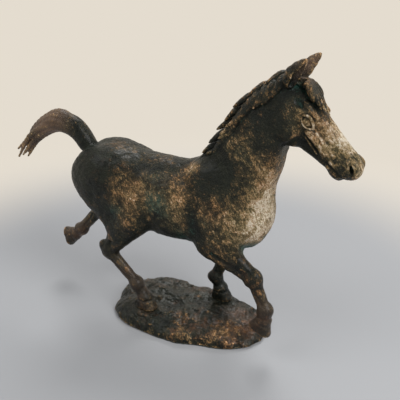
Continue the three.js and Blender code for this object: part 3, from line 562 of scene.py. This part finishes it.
def tail(clay):
    steps = [(0, 0, 0), (-14, 0, 17), (-34, 0, 20), (-58, 0, 6), (-79, 0, -16)]
    spine = [TAIL_ROOT + vec(*step) for step in steps]
    lock(clay, spine[:4], 7.4, 7.6, 3.5, 3, 16)
    rng = np.random.default_rng(9)
    for i in range(TAIL_STRANDS):
        angle = i / TAIL_STRANDS * 2 * math.pi
        side, up = math.cos(angle), math.sin(angle)
        sway = rng.uniform(-1, 1, 4)
        end = 0.93 + 0.09 * sway[0]
        fall = [
            spine[0] + vec(-4, side * 3.0, up * 3.0 + 3),
            spine[1] + vec(-4, side * 5.2, up * 5.2),
            spine[2] + vec(0, side * 7.0, up * 7.2),
            spine[3] + vec(3 * sway[1], side * 6.4 + sway[2], up * 6.6),
            spine[0] + (spine[4] - spine[0]) * end + vec(0, side * 5.5 + 2 * sway[3], up * 6 + 3 * sway[1]),
        ]
        lock(clay, fall, 3.2, 3.6, 0.9, 0.9, 22)


def horse(clay):
    """The whole horse, of which a grid takes what lies within it."""
    trunk(clay)
    neck(clay)
    for leg in FORELEGS.values():
        foreleg(clay, leg)
    for leg in HINDLEGS.values():
        hindleg(clay, leg)
    head(clay)
    face(clay)
    for s in (-1, 1):
        ear(clay, s)
    mane(clay)
    forelock(clay)
    tail(clay)


# ---------------- meshes


def link(name, data):
    """A new object in the scene."""
    item = bpy.data.objects.new(name, data)
    bpy.context.scene.collection.objects.link(item)
    return item


def attribute(mesh, name, values):
    mesh.attributes.new(name, "FLOAT", "POINT").data.foreach_set("value", values.astype(np.float32))


NEAR_REACH, WIDE_REACH = 1.3, 4.5  # mm: how far proud_near and proud_wide look round a point
UNEVEN = ((0.16, 9, 1), (0.09, 3.6, 2), (0.05, 1.8, 3))  # each ripple's height and length, mm, and seed
SHARP = math.radians(62)  # edges sharper than this are shaded as edges


def cast(name, clay, rough=1.0):
    """The clay as a mesh, with the casting's slightly uneven surface, and how far each point
    stands proud of what is round it, near by and farther off."""
    points, faces = clay.skin()
    near = clay.sample(clay.softened(NEAR_REACH), points)
    wide = clay.sample(clay.softened(WIDE_REACH), points)
    mesh = bpy.data.meshes.new(name)
    mesh.from_pydata(points / MM, [], faces)
    normals = np.zeros(len(points) * 3, np.float32)
    mesh.vertex_normals.foreach_get("vector", normals)
    swell = sum(height * ripple(points, length, seed) for height, length, seed in UNEVEN)
    moved = points / MM + normals.reshape(-1, 3) * (swell * rough / MM)[:, None]
    mesh.vertices.foreach_set("co", moved.astype(np.float32).ravel())
    attribute(mesh, "proud_near", near)
    attribute(mesh, "proud_wide", wide)
    return link(name, mesh)


def block(corner_points):
    """A box from its eight corners, in mm, as an object to cut with."""
    mesh = bpy.data.meshes.new("cutter")
    shape = bmesh.new()
    vertices = [shape.verts.new(Vector(p) / MM) for p in corner_points]
    for face in ((0, 1, 3, 2), (4, 6, 7, 5), (0, 4, 5, 1), (2, 3, 7, 6), (0, 2, 6, 4), (1, 5, 7, 3)):
        shape.faces.new([vertices[i] for i in face])
    bmesh.ops.recalc_face_normals(shape, faces=shape.faces)
    shape.to_mesh(mesh)
    shape.free()
    return link("cutter", mesh)


def block_along(start, way, across, half_across, half_side, depth):
    """A box that starts at a plane and runs along way: half_across and half_side wide."""
    way, side = unit(way), unit(np.cross(way, across))
    return block([
        start + way * d + unit(across) * a * half_across + side * s * half_side
        for d in (0, depth) for a in (-1, 1) for s in (-1, 1)
    ])


def boolean(piece, cutters, operation):
    """Cuts a piece with some cutters, or to them, and removes them."""
    for cutter in cutters:
        modifier = piece.modifiers.new("boolean", "BOOLEAN")
        modifier.object, modifier.operation, modifier.solver = cutter, operation, "MANIFOLD"
    shown = piece.evaluated_get(bpy.context.evaluated_depsgraph_get())
    mesh = bpy.data.meshes.new_from_object(shown)
    piece.modifiers.clear()
    piece.data = mesh
    for cutter in cutters:
        bpy.data.objects.remove(cutter)


# ---------------- the pieces of the horse

BODY_STEP, NECK_STEP, HEAD_STEP, LIMB_STEP, BASE_STEP = 0.85, 0.6, 0.45, 0.5, 0.7  # mm between points
ENDLESS = 400  # mm: beyond the end of every piece


def carve(name, low, high, step, rough=1.0):
    """The part of the horse between two corners, as a mesh."""
    clay = Clay(low, high, step)
    horse(clay)
    return cast(name, clay, rough)


def keep_part_at(piece, point):
    """Drops every loose part of a piece but the one nearest to a point, in mm."""
    mesh = bmesh.new()
    mesh.from_mesh(piece.data)
    todo, parts = set(mesh.verts), []
    while todo:
        stack, part = [todo.pop()], []
        while stack:
            vertex = stack.pop()
            part.append(vertex)
            for edge in vertex.link_edges:
                other = edge.other_vert(vertex)
                if other in todo:
                    todo.remove(other)
                    stack.append(other)
        parts.append(part)
    target = Vector(point) / MM
    parts.sort(key=lambda part: min((vertex.co - target).length for vertex in part))
    for part in parts[1:]:
        bmesh.ops.delete(mesh, geom=part, context="VERTS")
    mesh.to_mesh(piece.data)
    mesh.free()
    return piece


class Joint:
    """A flat joint between two castings."""

    def __init__(self, point, way):
        self.point, self.way = point, unit(way)

    def beyond(self):
        return block_along(self.point, self.way, self.across(), ENDLESS, ENDLESS, ENDLESS)

    def before(self):
        return block_along(self.point, -self.way, self.across(), ENDLESS, ENDLESS, ENDLESS)

    def across(self):
        return vec(-self.way[2], 0, self.way[0])


WAIST = Joint(spot(-8, 0, 110), vec(1, 0, 0))
NECK_ROOT = Joint(spot(60, 0, 139), vec(0.4, 0, 0.92))
NECK_TOP = Joint(spot(75, 0, 174), vec(0.34, 0, 0.94))
TAIL_WAY = unit(vec(-0.62, 0, 0.78))
DOCK = Joint(TAIL_ROOT + TAIL_WAY * 4, TAIL_WAY)


def leg_block(leg, half_across, half_side, depth):
    """A box down a leg from where it is parted from the body."""
    run = unit(leg["knee"] - leg["bend"])
    start = leg["bend"] + run * leg["cut"]
    return block_along(start, run, front_of(leg["bend"], leg["knee"]), half_across, half_side, depth)


def ear_block(s):
    base, tip = ear_ends(s)
    way = unit(tip - base)
    return block_along(base + way * 5, way, HEAD.out, 8, 7, 40)


def make_leg(name, leg):
    run = unit(leg["knee"] - leg["bend"])
    spots = np.array([leg["bend"] + run * leg["cut"], leg["knee"], leg["fetlock"], leg["coronet"]])
    low, high = spots.min(axis=0) - LEG_MARGIN, spots.max(axis=0) + LEG_MARGIN
    low[2] = max(low[2], GROUND - 4)
    piece = carve(name + "_skin", low, high, LIMB_STEP, 0.6)
    boolean(piece, [leg_block(leg, *LEG_BLOCK)], "INTERSECT")
    return keep_part_at(piece, leg["coronet"])


def make_tail():
    low, high = box_mm("tail")
    piece = carve("tail_skin", low - 12, high + 12, LIMB_STEP, 0.5)
    boolean(piece, [DOCK.beyond()], "INTERSECT")
    return keep_part_at(piece, TAIL_ROOT + vec(-34, 0, 20))


def make_ear(name, s):
    low, high = box_mm(name)
    piece = carve(name + "_skin", low - 9, high + 6, HEAD_STEP, 0.4)
    boolean(piece, [ear_block(s)], "INTERSECT")
    return keep_part_at(piece, HEAD.at(1, s * 9, 22))


def make_head():
    low, high = box_mm("head")
    piece = carve("head_skin", low - vec(8, 14, 8), high + vec(8, 14, 12), HEAD_STEP, 0.55)
    boolean(piece, [NECK_TOP.beyond()], "INTERSECT")
    boolean(piece, [ear_block(s) for s in (-1, 1)], "DIFFERENCE")
    return keep_part_at(piece, HEAD.at(50, 0, 0))


def make_neck():
    low, high = box_mm("neck")
    piece = carve("neck_skin", low - vec(20, 16, 8), high + vec(12, 12, 8), NECK_STEP, 0.8)
    boolean(piece, [NECK_ROOT.beyond(), NECK_TOP.before()], "INTERSECT")
    return keep_part_at(piece, spot(70, -18, 155))


def make_body():
    """The trunk, without its legs and tail, as its front and back halves."""
    low, high = box_mm("hindquarters", "forequarters")
    body = carve("forequarters_skin", low - vec(10, 8, 14), high + vec(8, 8, 8), BODY_STEP)
    cutters = [leg_block(leg, *leg.get("room", LEG_ROOM), LEG_SOCKET) for leg in LEGS.values()]
    cutters.append(block_along(DOCK.point, TAIL_WAY, DOCK.across(), 15, 15, 60))
    boolean(body, cutters, "DIFFERENCE")
    hind = link("hindquarters_skin", body.data)
    boolean(hind, [WAIST.before()], "INTERSECT")
    boolean(body, [WAIST.beyond(), NECK_ROOT.before()], "INTERSECT")
    return keep_part_at(hind, spot(-60, 0, 145)), keep_part_at(body, spot(40, 0, 70))


# ---------------- the base and its felt


def outline_of(node):
    """How far out a CAD node reaches at each angle about the origin, in mm."""
    points = np.array([tuple(v.co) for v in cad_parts[node].data.vertices]) * MM
    angles = np.arctan2(points[:, 1], points[:, 0])
    reach = np.hypot(points[:, 0], points[:, 1])
    bins = np.linspace(-math.pi, math.pi, 37)
    middles, most = (bins[1:] + bins[:-1]) / 2, []
    for low, high in zip(bins, bins[1:]):
        most.append(reach[(angles >= low - 0.05) & (angles <= high + 0.05)].max())
    return lambda angle: np.interp(angle, middles, most, period=2 * math.pi)


BASE_REACH = outline_of("base")
ROCK_INSET = 1.6  # mm: the rough rock's mean edge inside the widest one


def rock(x, y, z):
    """The distance to a low dome with lumps, inside the outline of the CAD's base."""
    plan = np.broadcast(x, y).shape
    share = np.hypot(x, y) / (BASE_REACH(np.arctan2(y, x)) - ROCK_INSET)
    flat = np.stack([np.broadcast_to(v, plan).ravel().astype(float) for v in (x, y, 0 * x)], axis=1)
    lumps = 1.1 * ripple(flat, 36, 21) - 1.1 * np.abs(ripple(flat, 24, 22)) + 0.2 * ripple(flat, 7, 23)
    lumps = lumps.reshape(plan)
    dome = 3.4 + (GROUND - BASE_LOW[2] - 2.6) * np.sqrt(np.clip(1 - (share / 1.01) ** 3.4, 0, 1))
    top = BASE_LOW[2] + dome + lumps
    side = (share - 1.0) * 45 + 0.12 * (z - 5)
    return smooth_max(0.8 * (z - top), 0.8 * side, 4)


def make_base():
    low, high = BASE_LOW - vec(6, 6, 4), BASE_HIGH + vec(6, 6, 5)
    clay = Clay(low, high, BASE_STEP)
    clay.add((low, high, rock))
    for leg in STANDING:
        foot = leg["coronet"]
        clay.add(egg(vec(foot[0] + 1.5, foot[1], GROUND - 3.0), (12.5, 11, 3.3)), 2.5)

    def underground(x, y, z):
        return (z - BASE_LOW[2]) + 0 * x + 0 * y

    clay.cut((low, high, underground))
    piece = cast("base_rock", clay, 1.6)
    places = np.zeros(len(piece.data.vertices) * 3, np.float32)
    piece.data.vertices.foreach_get("co", places)
    places[2::3] = np.maximum(places[2::3], BASE_LOW[2] / MM)  # flat where the felt is glued
    piece.data.vertices.foreach_set("co", places)
    return piece


FELT_SIDES = 180
FELT_RINGS = [(0.0, 0.25), (0.45, 0.0), (0.9, 0.0), (1.2, 0.35)]  # height of 1.2, and inset in mm


def make_felt():
    """A felt sheet with softly rounded, slightly uneven edges."""
    low, high = box_mm("felt_pad")
    reach = outline_of("felt_pad")
    sheet = bmesh.new()
    loops = []
    for height, inset in FELT_RINGS:
        loop = []
        for i in range(FELT_SIDES):
            angle = 2 * math.pi * i / FELT_SIDES
            fuzz = 0.12 * math.sin(31 * angle) + 0.08 * math.sin(53 * angle + 1)
            r = float(reach(math.remainder(angle, 2 * math.pi))) - inset + fuzz
            z = low[2] + height * (high[2] - low[2]) / FELT_RINGS[-1][0]
            loop.append(sheet.verts.new(Vector((r * math.cos(angle), r * math.sin(angle), z)) / MM))
        loops.append(loop)
    for lower, upper in zip(loops, loops[1:]):
        for i in range(FELT_SIDES):
            j = (i + 1) % FELT_SIDES
            sheet.faces.new((lower[i], lower[j], upper[j], upper[i]))
    sheet.faces.new(loops[0][::-1])
    sheet.faces.new(loops[-1])
    mesh = bpy.data.meshes.new("felt_sheet")
    sheet.to_mesh(mesh)
    sheet.free()
    return link("felt_sheet", mesh)


# ---------------- materials


def colour(red, green, blue):
    """A screen colour, 0 to 255, as the linear colour that a shader takes."""
    shares = [c / 255 for c in (red, green, blue)]
    linear = [c / 12.92 if c <= 0.04 else ((c + 0.055) / 1.055) ** 2.4 for c in shares]
    return (*linear, 1.0)


def put(tree, socket, value):
    """Links a socket to a node's output, or sets it to a plain value."""
    if isinstance(value, bpy.types.NodeSocket):
        tree.links.new(value, socket)
    else:
        socket.default_value = value


def shader_node(tree, kind, inputs, output=0, **settings):
    """The output of a new node with some settings and inputs."""
    node = tree.nodes.new("ShaderNode" + kind)
    for name, value in settings.items():
        setattr(node, name, value)
    for name, value in inputs.items():
        put(tree, node.inputs[name], value)
    return node.outputs[output]


class Nodes:
    """Short ways to build a material's nodes."""

    def __init__(self, name):
        self.material = bpy.data.materials.new(name)
        self.material.use_nodes = True
        self.tree = self.material.node_tree
        self.shader = self.tree.nodes["Principled BSDF"]
        self.place = self.vector("MULTIPLY", self.add("TexCoord", {}, "Object"), (MM, MM, MM))

    def put(self, name, value):
        """Sets or links an input of the material's shader."""
        put(self.tree, self.shader.inputs[name], value)

    def add(self, kind, inputs, output=0, **settings):
        return shader_node(self.tree, kind, inputs, output, **settings)

    def vector(self, operation, a, b):
        output = "Value" if operation == "DISTANCE" else "Vector"
        return self.add("VectorMath", {0: a, 1: b}, output, operation=operation)

    def math(self, operation, a, b=0.0, clamp=False):
        return self.add("Math", {0: a, 1: b}, operation=operation, use_clamp=clamp)

    def sum(self, *terms):
        """The sum of (value, factor) pairs."""
        total = 0.0
        for value, factor in terms:
            part = value if factor == 1 else self.math("MULTIPLY", value, factor)
            total = self.math("ADD", total, part)
        return total

    def noise(self, size, detail=4.0, rough=0.6, twist=0.0, stretch=(1, 1, 1), lean=(0, 0, 0)):
        """Noise with features of a size in mm, about -1 to 1: stretched, after a lean in radians."""
        turned = self.add("VectorRotate", {"Vector": self.place, "Rotation": lean}, rotation_type="EULER_XYZ")
        inputs = {"Vector": self.vector("DIVIDE", turned, stretch), "Scale": 1 / size}
        inputs |= {"Detail": detail, "Roughness": rough, "Distortion": twist}
        noise = self.add("TexNoise", inputs, "Fac")
        return self.math("MULTIPLY", self.math("SUBTRACT", noise, 0.5), 4.0)

    def pits(self, size):
        """0 at the middle of small pits, 1 between them."""
        away = self.add("TexVoronoi", {"Vector": self.place, "Scale": 1 / size}, "Distance")
        return self.math("MULTIPLY", away, 2.2, clamp=True)

    def height(self):
        """How high a point is, in mm."""
        return self.add("SeparateXYZ", {0: self.place}, "Z")

    def places(self, spots):
        """The sum of what some places add, each fading out at its reach."""
        total = 0.0
        for centre, reach, strength in spots:
            away = self.vector("DISTANCE", self.place, tuple(centre))
            total = self.sum((self.steps(away, reach, reach * 0.1), strength), (total, 1))
        return total

    def steps(self, value, low, high):
        """0 below low, 1 above high, and a smooth change between them."""
        inputs = {"Value": value, "From Min": low, "From Max": high}
        return self.add("MapRange", inputs, "Result", interpolation_type="SMOOTHSTEP")

    def mix(self, share, a, b):
        return self.add("Mix", {"Factor": share, "A": a, "B": b}, "Result", data_type="RGBA")

    def proud(self, name):
        return self.add("Attribute", {}, "Fac", attribute_name=name)

    def bump(self, height, depth):
        """Bumps of a depth in mm."""
        self.put("Normal", self.add("Bump", {"Distance": depth / MM, "Height": height}, "Normal"))


# Where the colour changes: a place in mm, how far it reaches, and how much it adds. Some rubbed places paint
# highlights as well as wear.
RUBBED_AND_HIGHLIT = [
    (spot(-26, -28, 117), 34, 1.1), (spot(-34, 28, 120), 36, 1.0), (spot(12, -30, 100), 28, 0.6),
    # the chest: rubbed gold, and a painted highlight brighter than the wear
    (spot(86, -12, 108), 44, 1.9), (spot(90, -16, 120), 18, 0.3), (spot(80, 16, 100), 26, 1.0),
    (spot(84, -8, 146), 34, 1.2),
    (spot(60, -24, 90), 28, 0.7), (spot(56, 26, 92), 26, 0.8), (spot(23, -13, 143), 15, 1.2),
    # the face and the nose: rubbed gold, and a painted highlight along the top of the nose
    (HEAD.at(46, -3, 8), 30, 1.8), (HEAD.at(70, 0, 2), 14, 1.2), (HEAD.at(24, -11, 0), 18, 0.6),
    (spot(-78, 0, 112), 28, 0.6), (spot(62, -18, 172), 26, 0.6), (spot(-36, -24, 86), 18, 0.7),
    (spot(-52, 0, 152), 22, 0.8), (spot(-10, 0, 146), 26, 0.35), (spot(14, -28, 126), 28, 0.85),
    (spot(48, -26, 116), 24, 0.9), (spot(8, 28, 112), 34, 0.7), (spot(64, 18, 168), 26, 0.6),
    # the base: rubbed gold, and at its front a painted highlight
    (spot(60, -22, 8), 30, 1.3), (spot(20, -32, 8), 24, 0.8), (spot(-50, 0, 6), 30, 0.3),
]
# Places with fewer gold flecks, so darker: the rump, under the belly, under the jaw and others
DARK = [
    (spot(-70, -24, 140), 34, 1.5), (spot(-64, 22, 144), 28, 0.9), (spot(4, 0, 70), 40, 0.9),
    (spot(28, -26, 134), 18, 0.2), (HEAD.at(40, 0, -14), 20, 0.7), (spot(50, -20, 150), 16, 0.5),
    (spot(88, 14, 120), 22, 0.6),
]
GREENED = [
    (spot(-8, -26, 124), 34, 0.7), (spot(74, -14, 92), 26, 1.6), (HEAD.at(10, 0, 6), 26, 0.7),
    (spot(-40, -24, 100), 26, 0.8), (spot(2, -28, 110), 22, 0.7), (spot(40, -24, 110), 20, 0.7),
    (spot(60, 14, 150), 34, 0.5), (spot(86, 0, 84), 24, 1.2),
    (spot(20, -18, 84), 34, 0.9), (spot(-78, -16, 120), 24, 0.7), (spot(-10, 24, 122), 34, 0.7),
]
BROWN = [
    (TAIL_ROOT + vec(-40, 0, 18), 34, 0.9), (TAIL_ROOT + vec(-74, 0, -8), 30, 0.9),
    (HEAD.at(1, 0, 24), 20, 0.9),
    (spot(-122, 20, 40), 30, 0.25), (spot(88, -24, 30), 30, 0.25), (spot(-40, -21, 30), 40, 0.2),
]
ROSY = [
    (spot(64, -20, 76), 26, 1.2), (spot(64, 20, 76), 26, 1.0), (HEAD.at(1, 0, 24), 17, 1.6),
    (TAIL_ROOT + vec(-44, 0, 10), 40, 0.9), (spot(-30, 0, 8), 60, 0.6), (spot(60, 0, 10), 60, 0.6),
    (spot(52, -22, 110), 24, 0.7), (spot(-120, 20, 44), 34, 0.7),
]


def patina(name, rub=0.0, rose=0.0, pit=1.0):
    """Aged cast bronze: a green-black ground, dry rubbed to gold, with green, copper and rosy
    places, and painted light: highlights on the chest, the nose and the front of the base, and a
    sheen in the grey-green speckles. rub and rose shift how much of them there is; pit is how rough the skin
    is."""
    n = Nodes(name)
    limb = n.steps(n.height(), spot(0, 0, 78)[2], spot(0, 0, 40)[2])
    broad, patch = n.noise(42, 3), n.noise(15, 5, 0.65, 0.8)
    mottle, grain = n.noise(5.2, 6, 0.66, 0.8), n.noise(1.2, 4, 0.7)
    stroke = n.noise(1.6, 4, 0.65, 0.3, (1, 1, 3.2), (0.0, 0.5, 0.0))
    near, wide = n.proud("proud_near"), n.proud("proud_wide")
    relief = n.sum((n.math("MINIMUM", near, 0.4), 2.0), (n.math("MINIMUM", wide, 0.8), 0.35))
    # worn: the rubbed places, which are wear together with the painted highlights on the chest, the nose and
    # the front of the base
    worn = n.math("MINIMUM", n.places(RUBBED_AND_HIGHLIT), 2.0)
    zone = n.sum((worn, 1), (n.places(DARK), -0.8), (limb, -0.2), (rub, 1))
    green = n.places(GREENED)
    fleck = n.sum(
        (grain, 0.75), (stroke, 0.8), (mottle, 0.75), (patch, 0.6), (relief, 1), (zone, 0.95), (green, -0.2),
    )
    dusting = n.sum((zone, 1), (patch, 0.5), (mottle, 0.5), (grain, 0.35), (relief, 0.7))
    dusted = n.steps(dusting, 0.0, 1.4)
    # rubbed: the gold flecks, which are wear and, at the highlit places, painted highlight
    rubbed = n.steps(fleck, 0.6, 1.7)
    bright = n.steps(fleck, 1.3, 2.6)

    depth = n.steps(n.sum((patch, 1), (grain, 0.8)), -0.9, 0.9)
    ground = n.mix(depth, colour(8, 15, 14), colour(34, 38, 29))
    brown = n.math("MINIMUM", n.places(BROWN), 0.8)
    ground = n.mix(n.math("MULTIPLY", brown, n.steps(patch, -2.2, 0.4)), ground, colour(124, 100, 84))
    # grey-green speckles, fewer on the legs: a grey patina and a painted sheen
    silver_and_sheen = n.steps(n.sum((mottle, 0.8), (grain, 0.9), (broad, 0.6), (limb, -0.8)), 0.7, 2.1)
    ground = n.mix(n.math("MULTIPLY", silver_and_sheen, 0.45), ground, colour(108, 112, 96))
    rosy = n.sum((n.places(ROSY), 1), (patch, 0.6), (broad, 0.4), (limb, 0.5), (grain, 0.2), (rose, 1))
    ground = n.mix(n.math("MULTIPLY", n.steps(rosy, 0.5, 1.9), 0.8), ground, colour(82, 64, 56))
    copper = n.sum((broad, 0.8), (mottle, 0.7), (grain, 0.3), (limb, 0.4))
    ground = n.mix(n.math("MULTIPLY", n.steps(copper, 0.4, 1.6), 0.7), ground, colour(88, 58, 38))
    dust = n.mix(n.steps(broad, -0.8, 0.8), colour(84, 78, 54), colour(96, 74, 50))
    ground = n.mix(n.math("MULTIPLY", dusted, 0.75), ground, dust)
    hollow = n.sum((green, 1.0), (relief, -0.6), (patch, 0.4), (mottle, 0.6), (grain, 0.6), (limb, -0.5))
    ground = n.mix(n.math("MULTIPLY", n.steps(hollow, 0.5, 1.6), 0.75), ground, colour(44, 88, 80))
    redder = n.steps(n.sum((mottle, 0.8), (broad, 0.6)), -0.7, 0.9)
    warm = n.mix(redder, colour(160, 138, 98), colour(176, 130, 84))
    skin = n.mix(n.math("MULTIPLY", rubbed, 0.85), ground, warm)
    # the brightest flecks in near white: wear, and on the chest and the nose a painted highlight
    skin = n.mix(n.math("MULTIPLY", bright, 0.85), skin, colour(228, 219, 200))
    n.put("Base Color", skin)
    n.put("Metallic", n.sum((rubbed, 0.15), (bright, -0.35), (0.5, 1)))
    dull = n.sum((rubbed, -0.06), (grain, 0.06), (patch, 0.05), (limb, -0.1), (0.44, 1))
    n.put("Roughness", dull)
    n.put("Specular IOR Level", 0.25)
    n.put("Coat Weight", 0.15)
    n.put("Coat Roughness", 0.25)
    rough = n.math("SUBTRACT", 1.0, n.math("MAXIMUM", n.math("MULTIPLY", limb, 0.6), brown))
    height = n.sum((grain, 0.26), (stroke, 0.2), (mottle, 0.34), (n.pits(2.3), 0.4), (n.pits(1.2), 0.25))
    n.bump(n.math("MULTIPLY", height, rough), 1.5 * pit)
    return n.material


def plain_metal(name, tint, roughness, metallic=1.0):
    """A machined or drawn metal surface, hidden inside."""
    n = Nodes(name)
    marks = n.noise(1.5, 4, 0.6, 0, (6, 1, 1))
    darker = (*(c * 0.8 for c in tint[:3]), 1)
    n.put("Base Color", n.mix(n.steps(marks, -1, 1), tint, darker))
    n.put("Metallic", metallic)
    n.put("Roughness", n.sum((marks, 0.06), (roughness, 1)))
    n.bump(marks, 0.05)
    return n.material


def felt_cloth():
    n = Nodes("felt_cloth")
    fibre, cloud = n.noise(0.5, 6, 0.75, 1.5), n.noise(9, 3)
    shade = n.steps(n.sum((fibre, 0.7), (cloud, 0.3)), -1, 1)
    n.put("Base Color", n.mix(shade, colour(34, 40, 35), colour(60, 68, 60)))
    n.put("Roughness", 1.0)
    n.put("Sheen Weight", 0.3)
    n.bump(fibre, 0.3)
    return n.material


def dress(piece, body, slot, material, *nodes):
    piece.data.materials.clear()
    piece.data.materials.append(material)
    piece.data.shade_smooth()
    piece.data.set_sharp_from_angle(angle=SHARP)
    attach(piece, body)
    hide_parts(*nodes)


# ---------------- put together

body_bronze = patina("body_bronze")
rock_bronze = patina("rock_bronze", rub=-0.1, rose=-0.2, pit=0.6)

hind_half, fore_half = make_body()
dress(hind_half, "root", "bronze_body", body_bronze, "hindquarters")
dress(fore_half, "root", "bronze_body", body_bronze, "forequarters", "belly_plug")
dress(make_neck(), "root", "bronze_body", body_bronze, "neck")
dress(make_head(), "root", "bronze_body", body_bronze, "head", "forelock")
for name, leg in LEGS.items():
    dress(make_leg(name, leg), "root", "bronze_body", body_bronze, name)
dress(make_ear("right_ear", -1), "root", "rubbed_bronze", body_bronze, "right_ear")
dress(make_ear("left_ear", 1), "root", "rubbed_bronze", body_bronze, "left_ear")
dress(make_tail(), "root", "rubbed_bronze", body_bronze, "tail")
dress(make_base(), "root", "base_bronze", rock_bronze, "base")
dress(make_felt(), "root", "felt", felt_cloth(), "felt_pad")

raw_bronze = plain_metal("raw_bronze", colour(170, 134, 78), 0.45)
zinc_steel = plain_metal("zinc_steel", colour(168, 170, 172), 0.4)
INSIDE = {  # the CAD nodes that are kept, hidden in the castings, by a part of their names
    "_pin": raw_bronze, "_sleeve": raw_bronze, "_stud": zinc_steel, "_nut": zinc_steel, "_washer": zinc_steel,
}
for name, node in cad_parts.items():
    for kind, metal in INSIDE.items():
        if kind in name:
            node.data.materials.clear()
            node.data.materials.append(metal)

# ---------------- floor, light and camera

CENTRE = (Vector(CAD_BOX[0]) + Vector(CAD_BOX[1])) / 2
CAMERA_AZIMUTH, CAMERA_ELEVATION, CAMERA_DISTANCE = 24.0, 26.0, 0.485  # degrees and metres
CAMERA_LENS = 50.0  # mm, on a 36 mm sensor
AIM = CENTRE + Vector((0.024, 0.011, -0.007))
FLOOR_REACH = 6.0  # m
WARM_WHITE = colour(228, 220, 207)
WARM_FROM_TO = (240, 540)  # mm from the middle, where the floor turns from grey to warm white


def show_warm(tree, plain, surface, share=1.0):
    """The plain shader for light, and the warm white for rays that see, a share of the way."""
    rays = tree.nodes.new("ShaderNodeLightPath").outputs
    seen = rays["Is Camera Ray"]
    for kind in ("Is Glossy Ray", "Is Transmission Ray"):
        seen = shader_node(tree, "Math", {0: seen, 1: rays[kind]}, operation="ADD", use_clamp=True)
    seen = shader_node(tree, "Math", {0: seen, 1: share}, operation="MULTIPLY")
    glow = shader_node(tree, "Emission", {"Color": WARM_WHITE})
    tree.links.new(shader_node(tree, "MixShader", {0: seen, 1: plain, 2: glow}), surface)


def studio_floor():
    """A wide pale floor, cool grey round the statue and a warm white ground beyond it."""
    mesh = bpy.data.meshes.new("floor")
    signs = ((-1, -1), (1, -1), (1, 1), (-1, 1))
    corners = [(x * FLOOR_REACH, y * FLOOR_REACH, 0) for x, y in signs]
    mesh.from_pydata(corners, [], [(0, 1, 2, 3)])
    n = Nodes("floor_paint")
    far = n.steps(n.vector("DISTANCE", n.place, (0, 0, 0)), *WARM_FROM_TO)
    n.put("Base Color", n.mix(far, colour(168, 169, 171), WARM_WHITE))
    n.put("Roughness", 0.7)
    n.put("Specular IOR Level", 0.25)
    show_warm(n.tree, n.shader.outputs[0], n.tree.nodes["Material Output"].inputs["Surface"], far)
    mesh.materials.append(n.material)
    floor = link("floor", mesh)


def polar(azimuth, elevation):
    """The direction from the statue at an azimuth and elevation, in degrees."""
    a, e = math.radians(azimuth), math.radians(elevation)
    return Vector((math.sin(a) * math.cos(e), -math.cos(a) * math.cos(e), math.sin(e)))


def aim(item, target, azimuth, elevation, distance):
    """Sets an object at a distance from a target, facing it."""
    item.location = target + polar(azimuth, elevation) * distance
    item.rotation_euler = (target - item.location).to_track_quat("-Z", "Y").to_euler()


def lamp(name, azimuth, elevation, distance, size, watts):
    """A round white lamp of a size, at a distance from the statue's middle, in metres."""
    data = bpy.data.lights.new(name, "AREA")
    data.shape, data.size, data.energy = "DISK", size, watts
    aim(link(name, data), CENTRE, azimuth, elevation, distance)


studio_floor()
lamp("window", 68, 34, 1.3, 0.8, 13)
lamp("room", -50, 48, 1.5, 1.0, 6)
lamp("rim", -165, 52, 1.4, 0.6, 9)

world = bpy.data.worlds.new("studio")
world.use_nodes = True
light_rays, output = world.node_tree.nodes["Background"], world.node_tree.nodes["World Output"]
light_rays.inputs["Color"].default_value = (0.95, 0.97, 1.0, 1)
light_rays.inputs["Strength"].default_value = 0.32
show_warm(world.node_tree, light_rays.outputs[0], output.inputs["Surface"])
bpy.context.scene.world = world

camera = link("camera", bpy.data.cameras.new("camera"))
camera.data.lens = CAMERA_LENS
camera.data.clip_start = 0.01
aim(camera, AIM, CAMERA_AZIMUTH, CAMERA_ELEVATION, CAMERA_DISTANCE)
bpy.context.scene.camera = camera
bpy.context.scene.view_settings.view_transform = "Standard"
